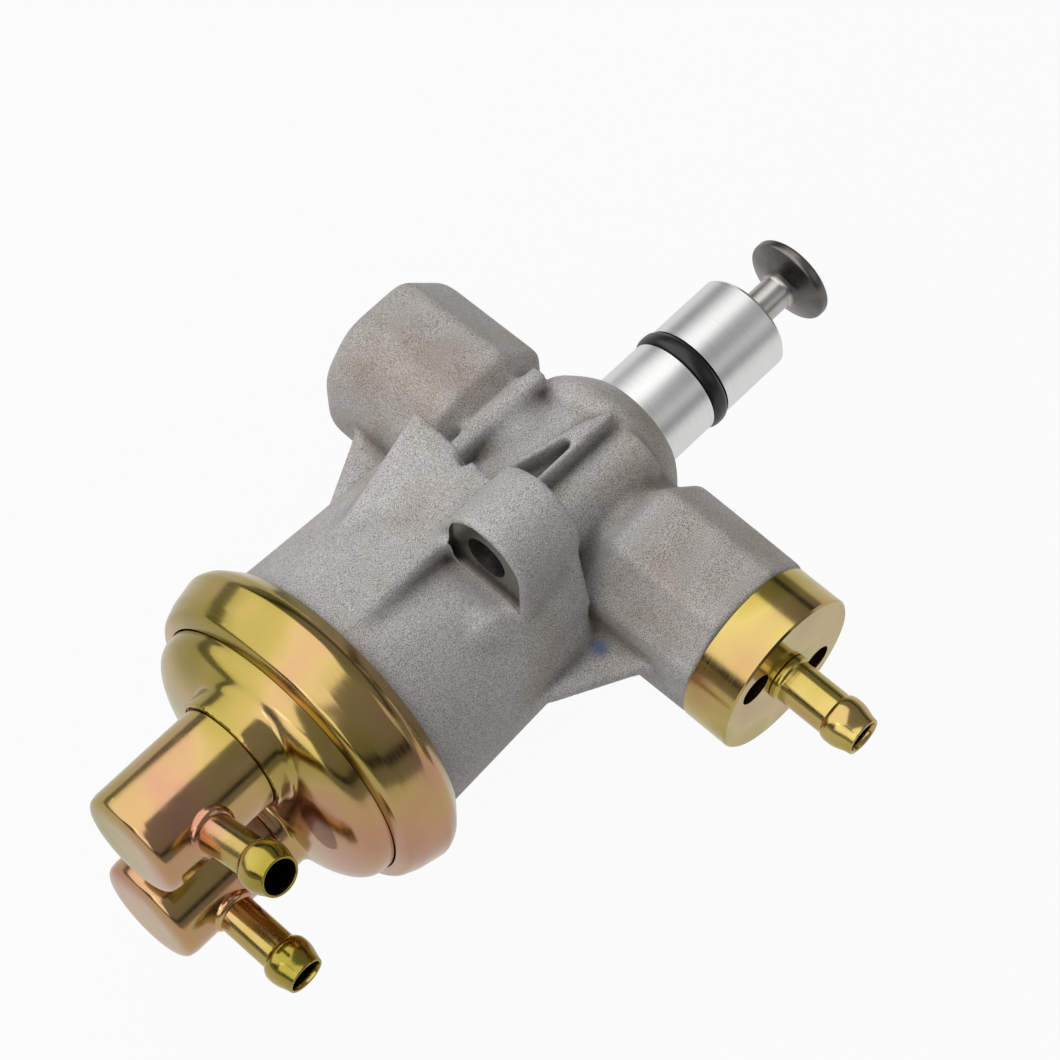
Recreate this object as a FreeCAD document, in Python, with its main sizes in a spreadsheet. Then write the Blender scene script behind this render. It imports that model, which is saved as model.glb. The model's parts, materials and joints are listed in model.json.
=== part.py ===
import FreeCAD, Part
import math
import os
import Sketcher

# Tandem fuel lift pump: a cam pushes the tappet along -X, which drives a piston stage and a diaphragm stage.
# +X runs along the tappet towards the engine's cam, +Z is the side that faces a fitter, and the suction plug
# is on -Y. The origin is where the tappet's axis meets the plane of the two mounting ears. Millimetres.

doc = FreeCAD.newDocument("fuel_lift_pump")
sheet = doc.addObject("Spreadsheet::Sheet", "sizes")

# Driving dimensions. A station is a place along X, measured from the mounting plane.
sizes = {
    # Barrel and its rolled joint
    "barrel_radius": 34.9,
    "barrel_top_radius": 32.8,
    "barrel_top_station": -3.4,
    "barrel_edge": 3.0,
    "barrel_foot_station": -53.0,
    "rim_station": -62.8,
    "rim_step": 3.3,
    "rim_thickness": 5.8,
    "cavity_radius": 29.0,
    "cavity_step_station": -50.0,
    "cavity_inner_radius": 25.0,
    "cavity_floor_station": -10.0,
    # Neck that holds the tappet guide
    "neck_waist_radius": 19.5,
    "neck_waist_end": 31.5,
    "neck_rim_station": 35.0,
    "neck_rim_radius": 21.5,
    "neck_shoulder_station": 38.0,
    "neck_slope_station": 42.0,
    "neck_slope_radius": 18.0,
    "neck_face_station": 45.0,
    "neck_face_radius": 14.8,
    # Cross bosses along Y
    "boss_station": 21.0,
    "outlet_boss_size": 21.5,
    "suction_boss_size": 20.8,
    "boss_taper": 0.8,
    "boss_root": 26.0,
    "boss_step": 5.0,
    "boss_step_angle": 42.0,
    "hub_radius": 17.5,
    "outlet_boss_end": 60.0,
    "outlet_boss_round": 6.5,
    "outlet_side_round": 13.0,
    "suction_boss_end": 57.6,
    # Mounting flange and ears
    "ear_across": 15.0,
    "ear_height": 38.0,
    "ear_radius": 11.8,
    "ear_thickness": 18.6,
    "pad_relief": 0.4,
    "bolt_hole_radius": 5.5,
    "spotface_radius": 10.6,
    "tool_recess_length": 30.0,
    "tool_recess_rise": 6.6,
    "flange_corner_across": 23.2,
    "flange_corner_height": 37.6,
    "flange_edge_height": 33.8,
    "flange_side": 30.5,
    "flange_depth": 36.0,
    "flange_root_radius": 33.0,
    # Webs and ribs of the casting
    "web_thickness": 4.0,
    "web_foot_station": -21.7,
    "web_foot": 34.6,
    "web_top": 47.5,
    "web_top_station": 3.0,
    "rib_width": 2.2,
    "rib_crest": 25.6,
    "rib_start": 2.0,
    "rib_end": 34.5,
    "rib_across": 4.2,
    "rib_spread": 7.0,
    "column_across": 11.0,
    "column_height": 14.0,
    "column_radius": 7.8,
    "column_end": 35.5,
    "outer_ridge_across": 17.2,
    "outer_ridge_width": 2.4,
    "outer_ridge_crest": 16.8,
    "shoulder_ridge_across": 18.0,
    "shoulder_ridge_width": 4.4,
    "shoulder_ridge_crest": 18.8,
    "ridge_start": 2.0,
    "ridge_end": 34.5,
    # Tappet guide, its ring, bush and seal
    "guide_radius": 12.7,
    "guide_end_station": 86.0,
    "guide_root_station": 28.0,
    "guide_edge": 1.0,
    "groove_station": 60.6,
    "groove_width": 5.0,
    "groove_depth": 3.0,
    "ring_section": 4.0,
    "bush_radius": 6.2,
    "bush_length": 24.0,
    "seal_radius": 7.6,
    "seal_length": 4.0,
    "seal_recess": 5.0,
    # Moving parts on the tappet's axis
    "running_clearance": 0.04,
    "stem_radius": 4.5,
    "head_radius": 11.2,
    "head_station": 97.0,
    "head_cone": 3.6,
    "head_rim": 2.6,
    "head_crown": 0.9,
    "piston_radius": 8.5,
    "piston_station": 34.0,
    "piston_length": 16.0,
    "piston_groove_station": 38.0,
    "piston_groove_width": 2.4,
    "piston_groove_depth": 1.6,
    "rod_radius": 3.5,
    "rod_socket": 12.0,
    "rod_collar_radius": 6.0,
    "rod_collar_station": -12.0,
    "rod_collar_length": 2.0,
    "rod_thread_radius": 3.0,
    "stroke_clearance": 0.1,
    # Piston chamber and rod gland
    "chamber_radius": 10.0,
    "chamber_floor_station": 8.0,
    "gland_radius": 6.0,
    "gland_bush_length": 12.0,
    "gland_seal_length": 4.5,
    "passage_radius": 5.0,
    # Return spring in the barrel
    "spring_radius": 13.5,
    "spring_wire": 1.3,
    "spring_turns": 5.0,
    "retainer_radius": 17.0,
    "retainer_thickness": 1.5,
    "retainer_lip": 3.5,
    "seat_station": -54.0,
    "seat_hole_radius": 6.5,
    "seat_flat_radius": 20.0,
    # Diaphragm, its two plates and nut
    "sheet_thickness": 1.2,
    "diaphragm_station": -58.6,
    "plate_radius": 21.5,
    "plate_thickness": 1.5,
    "fold_radius": 28.0,
    "diaphragm_hole_gap": 0.4,
    "nut_radius": 5.8,
    "nut_length": 4.0,
    "rod_tail": 1.0,
    # Pressed cover
    "cover_seam_station": -69.4,
    "cover_seam_step": 0.1,
    "cover_rim_step": 0.1,
    "cover_shoulder_station": -75.0,
    "cover_shoulder_radius": 32.8,
    "cover_slope_station": -79.4,
    "cover_slope_radius": 26.0,
    "cover_face_station": -82.0,
    "cover_face_radius": 17.0,
    "cover_bend": 1.6,
    # Rolled clamping ring
    "ring_fold_station": -68.3,
    "ring_fold_rise": 0.6,
    "ring_crest_station": -64.5,
    "ring_crest_rise": 2.1,
    "ring_edge_station": -58.2,
    "ring_edge_rise": 3.5,
    "ring_back_station": -56.0,
    "ring_back_rise": 2.8,
    "ring_tail_station": -52.0,
    "ring_wall": 2.0,
    "ring_gap": 0.3,
    # Valve cans and hose tubes
    "can_offset": 17.6,
    "can_radius": 13.5,
    "can_wall": 1.0,
    "can_mouth_station": -78.0,
    "can_end_station": -114.0,
    "can_end_round": 3.0,
    "collar_radius": 14.5,
    "collar_station": -83.2,
    "collar_root_station": -75.5,
    "tube_station": -99.6,
    "tube_radius": 4.76,
    "tube_wall": 0.8,
    "tube_reach": 36.3,
    "tube_root": 10.0,
    "bead_radius": 6.0,
    "bead_start": 8.6,
    "bead_rise": 1.2,
    "bead_flat": 3.6,
    "bead_tip_radius": 5.0,
    "inlet_tube_angle": 22.5,
    # Suction plug and its tube
    "plug_head_radius": 20.8,
    "plug_head_length": 12.2,
    "plug_edge": 0.5,
    "plug_thread_radius": 14.0,
    "plug_thread_length": 17.6,
    "plug_socket": 8.0,
    "plug_bore_radius": 4.4,
    "plug_seal_section": 1.6,
    "spanner_hole_radius": 4.2,
    "spanner_hole_circle": 13.4,
    "spanner_hole_depth": 8.0,
    "spanner_hole_angle": 37.0,
    "suction_tube_radius": 5.35,
    "suction_tube_reach": 23.2,
    "suction_collar_radius": 6.0,
    "suction_collar_length": 2.0,
    # Check valves, measured from the seating face along the way each one opens
    "valve_seat_thickness": 2.0,
    "valve_hole_radius": 1.3,
    "valve_hole_circle": 4.4,
    "valve_disc_radius": 7.0,
    "valve_disc_thickness": 1.0,
    "valve_spring_radius": 3.8,
    "valve_spring_wire": 0.35,
    "valve_spring_length": 4.0,
    "valve_spring_turns": 3.0,
    "rivet_radius": 1.5,
    "rivet_head_radius": 5.4,
    "rivet_head_thickness": 0.8,
    "rivet_tail_radius": 2.6,
    "low_valve_station": -82.5,
    "suction_valve_place": -37.5,
    "suction_valve_pocket": 9.5,
    "suction_pocket_end": -28.0,
    "outlet_valve_place": 28.5,
    "outlet_valve_pocket": 8.0,
    "outlet_pocket_end": 46.5,
    # Outlet port
    "port_radius": 8.6,
    "port_chamfer": 1.2,
}

for row, (alias, number) in enumerate(sizes.items(), 1):
    sheet.set("A%d" % row, alias)
    sheet.set("B%d" % row, str(number))
    sheet.setAlias("B%d" % row, alias)
doc.recompute()

# Radii that follow the barrel's own
rim_radius = "(sizes.barrel_radius + sizes.rim_step)"
cover_rim_radius = "(sizes.barrel_radius + sizes.rim_step - sizes.cover_rim_step)"
cover_seam_radius = "(sizes.barrel_radius + sizes.cover_seam_step)"

bodies = []


def new_body(label):
    body = doc.addObject("PartDesign::Body", label)
    body.Label = label
    bodies.append(body)
    return body


def origin_plane(body, role):
    return [feature for feature in body.Origin.OriginFeatures if feature.Role == role][0]


def new_sketch(body, name, role, offset=None):
    sketch = body.newObject("Sketcher::SketchObject", name)
    sketch.AttachmentSupport = [(origin_plane(body, role), "")]
    sketch.MapMode = "FlatFace"
    if offset:
        sketch.setExpression("AttachmentOffset.Base.z", offset)
    return sketch


def bind_point(sketch, element, end, along, across):
    """Hold a point at two expressions, measured from the sketch's origin; "0" puts it on the axis itself."""
    for kind, axis, expression in (("DistanceX", -2, along), ("DistanceY", -1, across)):
        if expression == "0":
            sketch.addConstraint(Sketcher.Constraint("PointOnObject", element, end, axis))
        else:
            index = sketch.addConstraint(Sketcher.Constraint(kind, -1, 1, element, end, 1.0))
            sketch.setExpression("Constraints[%d]" % index, expression)


def draw_outline(sketch, corners):
    """Closed outline of straight lines through corners, each a pair of expressions."""
    first = sketch.GeometryCount
    count = len(corners)
    turn = 2 * math.pi / count
    ring = [FreeCAD.Vector(math.cos(turn * i), math.sin(turn * i), 0) * 30 for i in range(count)]
    for i in range(count):
        sketch.addGeometry(Part.LineSegment(ring[i], ring[(i + 1) % count]), False)
    for i in range(count):
        sketch.addConstraint(Sketcher.Constraint("Coincident", first + i, 2, first + (i + 1) % count, 1))
    for i, (along, across) in enumerate(corners):
        bind_point(sketch, first + i, 1, along, across)


def draw_circle(sketch, centre, radius):
    element = sketch.addGeometry(Part.Circle(FreeCAD.Vector(1, 1, 0), FreeCAD.Vector(0, 0, 1), 5.0), False)
    bind_point(sketch, element, 3, centre[0], centre[1])
    index = sketch.addConstraint(Sketcher.Constraint("Radius", element, 5.0))
    sketch.setExpression("Constraints[%d]" % index, radius)


def pad(body, name, sketch, length, both_ways=False, backwards=False):
    feature = body.newObject("PartDesign::Pad", name)
    feature.Profile = sketch
    feature.setExpression("Length", length)
    feature.Midplane = both_ways
    feature.Reversed = backwards
    return feature


def pocket(body, name, sketch, length, backwards=False, both_ways=False):
    """Cut along the sketch's normal turned round, or along the normal itself where backwards is set."""
    feature = body.newObject("PartDesign::Pocket", name)
    feature.Profile = sketch
    feature.setExpression("Length", length)
    feature.Midplane = both_ways
    feature.Reversed = backwards
    return feature


def revolve(body, name, corners, kind="PartDesign::Revolution"):
    """Turn a profile of (station, radius) corners about the body's own X axis."""
    sketch = new_sketch(body, name + "_profile", "XY_Plane")
    draw_outline(sketch, corners)
    feature = body.newObject(kind, name)
    feature.Profile = sketch
    feature.ReferenceAxis = (sketch, ["H_Axis"])
    feature.Angle = 360
    return feature


def turned(label, corners):
    body = new_body(label)
    revolve(body, label + "_turning", corners)
    return body


def round_edges(body, name, radius, chosen):
    """Fillet the edges of the body so far that the given test picks."""
    doc.recompute()
    base = body.Tip
    picked = ["Edge%d" % (i + 1) for i, edge in enumerate(base.Shape.Edges) if chosen(edge)]
    feature = body.newObject("PartDesign::Fillet", name)
    feature.Base = (base, picked)
    feature.setExpression("Radius", radius)
    return feature


def circle_at(station, radius):
    """Test for a circular edge about X, at a station and of a radius."""
    def test(edge):
        if not isinstance(edge.Curve, Part.Circle):
            return False
        near = abs(edge.Curve.Center.x - station) < 0.01
        return near and abs(edge.Curve.Radius - radius) < 0.01
    return test


def place(body, along="0", across="0", height="0", turn=0.0, tilt=0.0):
    """Stand a piece that was turned about its own X axis: turn is about Z, then tilt about X, in degrees."""
    about_z = FreeCAD.Rotation(FreeCAD.Vector(0, 0, 1), turn)
    about_x = FreeCAD.Rotation(FreeCAD.Vector(1, 0, 0), tilt)
    body.Placement = FreeCAD.Placement(FreeCAD.Vector(0, 0, 0), about_x.multiply(about_z))
    for letter, expression in (("x", along), ("y", across), ("z", height)):
        if expression != "0":
            body.setExpression("Placement.Base." + letter, expression)


# Housing: one aluminium casting, with the machined bores cut last
housing = new_body("pump_housing")
revolve(housing, "barrel", [
    ("sizes.rim_station", "0"),
    ("sizes.rim_station", rim_radius),
    ("sizes.rim_station + sizes.rim_thickness", rim_radius),
    ("sizes.barrel_foot_station", "sizes.barrel_radius"),
    ("sizes.barrel_top_station", "sizes.barrel_top_radius"),
    ("sizes.barrel_top_station + sizes.barrel_edge", "sizes.barrel_top_radius - sizes.barrel_edge"),
    ("sizes.barrel_top_station + sizes.barrel_edge", "0"),
])
revolve(housing, "neck", [
    ("sizes.barrel_top_station", "0"),
    ("sizes.barrel_top_station", "sizes.neck_waist_radius"),
    ("sizes.neck_waist_end", "sizes.neck_waist_radius"),
    ("sizes.neck_rim_station", "sizes.neck_rim_radius"),
    ("sizes.neck_shoulder_station", "sizes.neck_rim_radius"),
    ("sizes.neck_slope_station", "sizes.neck_slope_radius"),
    ("sizes.neck_face_station", "sizes.neck_face_radius"),
    ("sizes.neck_face_station", "0"),
])
hub_sketch = new_sketch(housing, "hub_circle", "XZ_Plane")
draw_circle(hub_sketch, ("sizes.boss_station", "0"), "sizes.hub_radius")
pad(housing, "hub", hub_sketch, "2 * sizes.boss_root + 2", both_ways=True)


# Corners of a boss's eight-sided section, as shares of its size: wide flats on the top and bottom
boss_corners = [(0.44, 1.0), (-0.49, 1.0), (-0.94, 0.42), (-0.94, -0.42), (-0.49, -1.0), (0.44, -1.0),
                (0.97, -0.42), (0.97, 0.42)]


def long_edge_below_boss_axis(edge):
    """Test for the outlet boss's corner edges on the barrel's side of its axis."""
    box = edge.BoundBox
    below = box.XMax < sizes["boss_station"] - 0.4 * sizes["outlet_boss_size"]
    return below and box.YMax > sizes["outlet_boss_end"] - 0.01 and box.YLength > 20


def cross_boss(name, side):
    """Eight-sided boss about Y with a sloping shoulder at the hub; side is 1 on +Y and -1 on -Y."""
    offset = "sizes.boss_root" if side < 0 else "-sizes.boss_root"
    size = "sizes.%s_size" % name
    sketch = new_sketch(housing, name + "_octagon", "XZ_Plane", offset)
    draw_outline(sketch, [
        ("sizes.boss_station + %.2f * %s" % (along, size), "%.2f * %s" % (up, size))
        for along, up in boss_corners
    ])
    boss = pad(housing, name, sketch, "sizes.%s_end - sizes.boss_root" % name, backwards=side > 0)
    boss.setExpression("TaperAngle", "-sizes.boss_taper")
    if side > 0:
        round_edges(housing, "outlet_side_rounding", "sizes.outlet_side_round", long_edge_below_boss_axis)
        round_edges(housing, "outlet_boss_rounding", "sizes.outlet_boss_round",
                    lambda edge: edge.BoundBox.YMin > sizes["outlet_boss_end"] - 0.01)
    shoulder_sketch = new_sketch(housing, name + "_shoulder_octagon", "XZ_Plane", offset)
    draw_outline(shoulder_sketch, [
        ("sizes.boss_station + %.2f * %s" % (along, size), "%.2f * %s" % (up, size))
        for along, up in boss_corners
    ])
    shoulder = pad(housing, name + "_shoulder", shoulder_sketch, "sizes.boss_step", backwards=side < 0)
    shoulder.setExpression("TaperAngle", "-sizes.boss_step_angle")


cross_boss("outlet_boss", 1)
cross_boss("suction_boss", -1)

# Flange block: an eight-cornered outline just under the mounting plane, blending down into the barrel; only
# the ears' own pads reach the plane
flange_half = [
    ("sizes.flange_corner_across", "sizes.flange_corner_height"),
    ("-sizes.ear_across + sizes.ear_radius", "sizes.flange_edge_height"),
    ("-sizes.ear_across - sizes.ear_radius", "sizes.flange_edge_height"),
    ("-sizes.flange_side", "sizes.ear_height - 2 * sizes.ear_radius"),
]
root_angles = [59.0, 98.0, 130.0, 160.0]
flange_top = new_sketch(housing, "flange_outline", "YZ_Plane", "-sizes.pad_relief")
draw_outline(flange_top, flange_half + [("-(%s)" % along, "-(%s)" % up) for along, up in flange_half])
flange_root = new_sketch(housing, "flange_root_outline", "YZ_Plane", "-sizes.flange_depth")
draw_outline(flange_root, [
    ("sizes.flange_root_radius * cos(%.1f deg)" % angle, "sizes.flange_root_radius * sin(%.1f deg)" % angle)
    for angle in root_angles + [angle + 180 for angle in root_angles]
])
flange = housing.newObject("PartDesign::AdditiveLoft", "flange_block")
flange.Profile = flange_top
flange.Sections = [(flange_root, [""])]
flange.Ruled = True

# Ears, webs and ribs come in pairs, half a turn apart about X
for side, word in ((1, "near"), (-1, "far")):
    sign = "" if side > 0 else "-"
    centre = ("-%ssizes.ear_across" % sign, "%ssizes.ear_height" % sign)
    if side < 0:
        centre = ("sizes.ear_across", "-sizes.ear_height")
    ear_sketch = new_sketch(housing, word + "_ear_circle", "YZ_Plane")
    draw_circle(ear_sketch, centre, "sizes.ear_radius")
    pad(housing, word + "_ear", ear_sketch, "sizes.ear_thickness", backwards=True)
    fill_sketch = new_sketch(housing, word + "_ear_fill_outline", "YZ_Plane", "-sizes.pad_relief")
    draw_outline(fill_sketch, [
        ("%d * (-sizes.ear_across - sizes.ear_radius)" % side, "%d * sizes.ear_height" % side),
        ("%d * (-sizes.ear_across + sizes.ear_radius)" % side, "%d * sizes.ear_height" % side),
        ("%d * (-sizes.ear_across + sizes.ear_radius)" % side, "%d * sizes.neck_waist_radius / 2" % side),
        ("%d * (-sizes.ear_across - sizes.ear_radius)" % side, "%d * sizes.neck_waist_radius / 2" % side),
    ])
    pad(housing, word + "_ear_fill", fill_sketch, "sizes.ear_thickness - sizes.pad_relief", backwards=True)
    web_sketch = new_sketch(housing, word + "_web_outline", "XY_Plane")
    draw_outline(web_sketch, [
        ("sizes.web_foot_station", "%d * sizes.web_foot" % -side),
        ("sizes.web_top_station", "%d * sizes.web_top" % -side),
        ("sizes.web_top_station", "%d * sizes.neck_waist_radius / 2" % -side),
        ("sizes.web_foot_station", "%d * sizes.neck_waist_radius / 2" % -side),
    ])
    pad(housing, word + "_web", web_sketch, "sizes.web_thickness", both_ways=True)
    starts = {"straight": "-sizes.rib_across", "slanted": "sizes.rib_spread - sizes.rib_across"}
    for rib, start in starts.items():
        rib_sketch = new_sketch(housing, "%s_%s_rib_outline" % (word, rib), "XY_Plane")
        draw_outline(rib_sketch, [
            ("sizes.rib_start", "%d * (%s - sizes.rib_width / 2)" % (side, start)),
            ("sizes.rib_end", "%d * (-sizes.rib_across - sizes.rib_width / 2)" % side),
            ("sizes.rib_end", "%d * (-sizes.rib_across + sizes.rib_width / 2)" % side),
            ("sizes.rib_start", "%d * (%s + sizes.rib_width / 2)" % (side, start)),
        ])
        pad(housing, "%s_%s_rib" % (word, rib), rib_sketch, "sizes.rib_crest", backwards=side < 0)
    column_sketch = new_sketch(housing, word + "_column_circle", "YZ_Plane")
    draw_circle(column_sketch, ("%d * sizes.column_across" % -side, "%d * sizes.column_height" % side),
                "sizes.column_radius")
    pad(housing, word + "_column", column_sketch, "sizes.column_end")
    for ridge, across, width in (("outer_ridge", "-sizes.outer_ridge_across", "sizes.outer_ridge_width"),
                                 ("shoulder_ridge", "sizes.shoulder_ridge_across",
                                  "sizes.shoulder_ridge_width")):
        ridge_sketch = new_sketch(housing, "%s_%s_outline" % (word, ridge), "XY_Plane")
        draw_outline(ridge_sketch, [
            ("sizes.ridge_start", "%d * (%s - %s / 2)" % (side, across, width)),
            ("sizes.ridge_end", "%d * (%s - %s / 2)" % (side, across, width)),
            ("sizes.ridge_end", "%d * (%s + %s / 2)" % (side, across, width)),
            ("sizes.ridge_start", "%d * (%s + %s / 2)" % (side, across, width)),
        ])
        pad(housing, "%s_%s" % (word, ridge), ridge_sketch, "sizes.%s_crest" % ridge, backwards=side < 0)
    floor = "%s - %d * sizes.spotface_radius" % (centre[1], side)
    recess_sketch = new_sketch(housing, word + "_tool_recess_outline", "XZ_Plane",
                               "%d * (sizes.ear_across - sizes.spotface_radius)" % side)
    draw_outline(recess_sketch, [
        ("-sizes.ear_thickness", floor),
        ("-sizes.ear_thickness - sizes.tool_recess_length",
         "%s + %d * sizes.tool_recess_rise" % (floor, side)),
        ("-sizes.ear_thickness - sizes.tool_recess_length", "%d * 2 * sizes.ear_height" % side),
        ("-sizes.ear_thickness", "%d * 2 * sizes.ear_height" % side),
    ])
    pocket(housing, word + "_tool_recess", recess_sketch, "2 * sizes.spotface_radius + 4",
           backwards=side > 0)
    hole_sketch = new_sketch(housing, word + "_bolt_hole_circle", "YZ_Plane")
    draw_circle(hole_sketch, centre, "sizes.bolt_hole_radius")
    pocket(housing, word + "_bolt_hole", hole_sketch, "2 * sizes.ear_thickness", both_ways=True)

# Machined bores on the tappet's axis: diaphragm cavity, rod gland, piston chamber and guide socket
revolve(housing, "axial_bores", [
    ("sizes.rim_station", "0"),
    ("sizes.rim_station", "sizes.cavity_radius"),
    ("sizes.cavity_step_station", "sizes.cavity_radius"),
    ("sizes.cavity_step_station", "sizes.cavity_inner_radius"),
    ("sizes.cavity_floor_station", "sizes.cavity_inner_radius"),
    ("sizes.cavity_floor_station", "sizes.gland_radius"),
    ("sizes.chamber_floor_station", "sizes.gland_radius"),
    ("sizes.chamber_floor_station", "sizes.chamber_radius"),
    ("sizes.guide_root_station", "sizes.chamber_radius"),
    ("sizes.guide_root_station", "sizes.guide_radius"),
    ("sizes.neck_face_station", "sizes.guide_radius"),
    ("sizes.neck_face_station", "0"),
], "PartDesign::Groove")

# Machined bores on the cross axis: plug thread, valve pockets, passage and outlet port
cross_sketch = new_sketch(housing, "cross_bores_profile", "XY_Plane")
cross_axis = cross_sketch.addGeometry(
    Part.LineSegment(FreeCAD.Vector(5, -40, 0), FreeCAD.Vector(5, 40, 0)), True)
bind_point(cross_sketch, cross_axis, 1, "sizes.boss_station", "-sizes.suction_boss_end")
bind_point(cross_sketch, cross_axis, 2, "sizes.boss_station", "sizes.outlet_boss_end")
cross_profile = [
    ("0 * sizes.port_radius", "-sizes.suction_boss_end"),
    ("sizes.plug_thread_radius", "-sizes.suction_boss_end"),
    ("sizes.plug_thread_radius", "sizes.suction_valve_place - sizes.valve_seat_thickness"),
    ("sizes.suction_valve_pocket", "sizes.suction_valve_place - sizes.valve_seat_thickness"),
    ("sizes.suction_valve_pocket", "sizes.suction_pocket_end"),
    ("sizes.passage_radius", "sizes.suction_pocket_end"),
    ("sizes.passage_radius", "sizes.outlet_valve_place - sizes.valve_seat_thickness"),
    ("sizes.outlet_valve_pocket", "sizes.outlet_valve_place - sizes.valve_seat_thickness"),
    ("sizes.outlet_valve_pocket", "sizes.outlet_pocket_end"),
    ("sizes.port_radius", "sizes.outlet_pocket_end"),
    ("sizes.port_radius", "sizes.outlet_boss_end - sizes.port_chamfer"),
    ("sizes.port_radius + sizes.port_chamfer", "sizes.outlet_boss_end"),
    ("0 * sizes.port_radius", "sizes.outlet_boss_end"),
]
draw_outline(cross_sketch, [("sizes.boss_station + " + radius, across) for radius, across in cross_profile])
cross_bores = housing.newObject("PartDesign::Groove", "cross_bores")
cross_bores.Profile = cross_sketch
cross_bores.ReferenceAxis = (cross_sketch, ["Axis0"])
cross_bores.Angle = 360

# Tappet guide: a turned aluminium sleeve pressed into the neck; the piston runs in its inner end
bore_end = "sizes.guide_end_station - sizes.seal_recess - sizes.bush_length"
turned("tappet_guide", [
    ("sizes.guide_root_station", "sizes.piston_radius + sizes.running_clearance"),
    ("sizes.guide_root_station", "sizes.guide_radius"),
    ("sizes.groove_station", "sizes.guide_radius"),
    ("sizes.groove_station", "sizes.guide_radius - sizes.groove_depth"),
    ("sizes.groove_station + sizes.groove_width", "sizes.guide_radius - sizes.groove_depth"),
    ("sizes.groove_station + sizes.groove_width", "sizes.guide_radius"),
    ("sizes.guide_end_station - sizes.guide_edge", "sizes.guide_radius"),
    ("sizes.guide_end_station", "sizes.guide_radius - sizes.guide_edge"),
    ("sizes.guide_end_station", "sizes.seal_radius"),
    ("sizes.guide_end_station - sizes.seal_recess", "sizes.seal_radius"),
    ("sizes.guide_end_station - sizes.seal_recess", "sizes.bush_radius"),
    (bore_end, "sizes.bush_radius"),
    (bore_end, "sizes.piston_radius + sizes.running_clearance"),
])
turned("guide_bush", [
    (bore_end, "sizes.stem_radius + sizes.running_clearance"),
    (bore_end, "sizes.bush_radius"),
    ("sizes.guide_end_station - sizes.seal_recess", "sizes.bush_radius"),
    ("sizes.guide_end_station - sizes.seal_recess", "sizes.stem_radius + sizes.running_clearance"),
])
turned("stem_seal", [
    ("sizes.guide_end_station - sizes.seal_recess", "sizes.stem_radius + sizes.running_clearance"),
    ("sizes.guide_end_station - sizes.seal_recess", "sizes.seal_radius"),
    ("sizes.guide_end_station - sizes.seal_recess + sizes.seal_length", "sizes.seal_radius"),
    ("sizes.guide_end_station - sizes.seal_recess + sizes.seal_length / 2",
     "sizes.stem_radius + sizes.running_clearance"),
])
guide_ring = new_body("guide_ring")
guide_ring_sketch = new_sketch(guide_ring, "guide_ring_section", "XY_Plane")
draw_circle(guide_ring_sketch, (
    "sizes.groove_station + sizes.groove_width / 2",
    "sizes.guide_radius - sizes.groove_depth + sizes.ring_section / 2",
), "sizes.ring_section / 2")
guide_ring_turning = guide_ring.newObject("PartDesign::Revolution", "guide_ring_turning")
guide_ring_turning.Profile = guide_ring_sketch
guide_ring_turning.ReferenceAxis = (guide_ring_sketch, ["H_Axis"])
guide_ring_turning.Angle = 360

# Tappet: hardened stem with a mushroom head that the cam's rocker presses
piston_back = "sizes.piston_station + sizes.piston_length"
turned("tappet", [
    (piston_back, "0"),
    (piston_back, "sizes.stem_radius"),
    ("sizes.head_station", "sizes.stem_radius"),
    ("sizes.head_station + sizes.head_cone", "sizes.head_radius"),
    ("sizes.head_station + sizes.head_cone + sizes.head_rim", "sizes.head_radius"),
    ("sizes.head_station + sizes.head_cone + sizes.head_rim + sizes.head_crown", "sizes.head_radius * 0.6"),
    ("sizes.head_station + sizes.head_cone + sizes.head_rim + sizes.head_crown", "0"),
])

# Piston with its seal, pressed on the rod that carries the motion on to the diaphragm
turned("piston", [
    ("sizes.piston_station", "sizes.rod_radius"),
    ("sizes.piston_station", "sizes.piston_radius"),
    ("sizes.piston_groove_station", "sizes.piston_radius"),
    ("sizes.piston_groove_station", "sizes.piston_radius - sizes.piston_groove_depth"),
    ("sizes.piston_groove_station + sizes.piston_groove_width",
     "sizes.piston_radius - sizes.piston_groove_depth"),
    ("sizes.piston_groove_station + sizes.piston_groove_width", "sizes.piston_radius"),
    (piston_back, "sizes.piston_radius"),
    (piston_back, "0"),
    ("sizes.piston_station + sizes.rod_socket", "0"),
    ("sizes.piston_station + sizes.rod_socket", "sizes.rod_radius"),
])
turned("piston_seal", [
    ("sizes.piston_groove_station", "sizes.piston_radius - sizes.piston_groove_depth"),
    ("sizes.piston_groove_station", "sizes.piston_radius + sizes.running_clearance / 2"),
    ("sizes.piston_groove_station + sizes.piston_groove_width",
     "sizes.piston_radius + sizes.running_clearance / 2"),
    ("sizes.piston_groove_station + sizes.piston_groove_width",
     "sizes.piston_radius - sizes.piston_groove_depth"),
])

# Stations of the clamped stack on the rod, from its shoulder outwards
shoulder = "sizes.diaphragm_station + sizes.plate_thickness"
front_face = "sizes.diaphragm_station - sizes.sheet_thickness"
nut_face = front_face + " - sizes.plate_thickness"
nut_end = nut_face + " - sizes.nut_length"
turned("piston_rod", [
    (nut_end + " - sizes.rod_tail", "0"),
    (nut_end + " - sizes.rod_tail", "sizes.rod_thread_radius"),
    (shoulder, "sizes.rod_thread_radius"),
    (shoulder, "sizes.rod_radius"),
    ("sizes.rod_collar_station - sizes.rod_collar_length", "sizes.rod_radius"),
    ("sizes.rod_collar_station - sizes.rod_collar_length", "sizes.rod_collar_radius"),
    ("sizes.rod_collar_station", "sizes.rod_collar_radius"),
    ("sizes.rod_collar_station", "sizes.rod_radius"),
    ("sizes.piston_station + sizes.rod_socket", "sizes.rod_radius"),
    ("sizes.piston_station + sizes.rod_socket", "0"),
])
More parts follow.
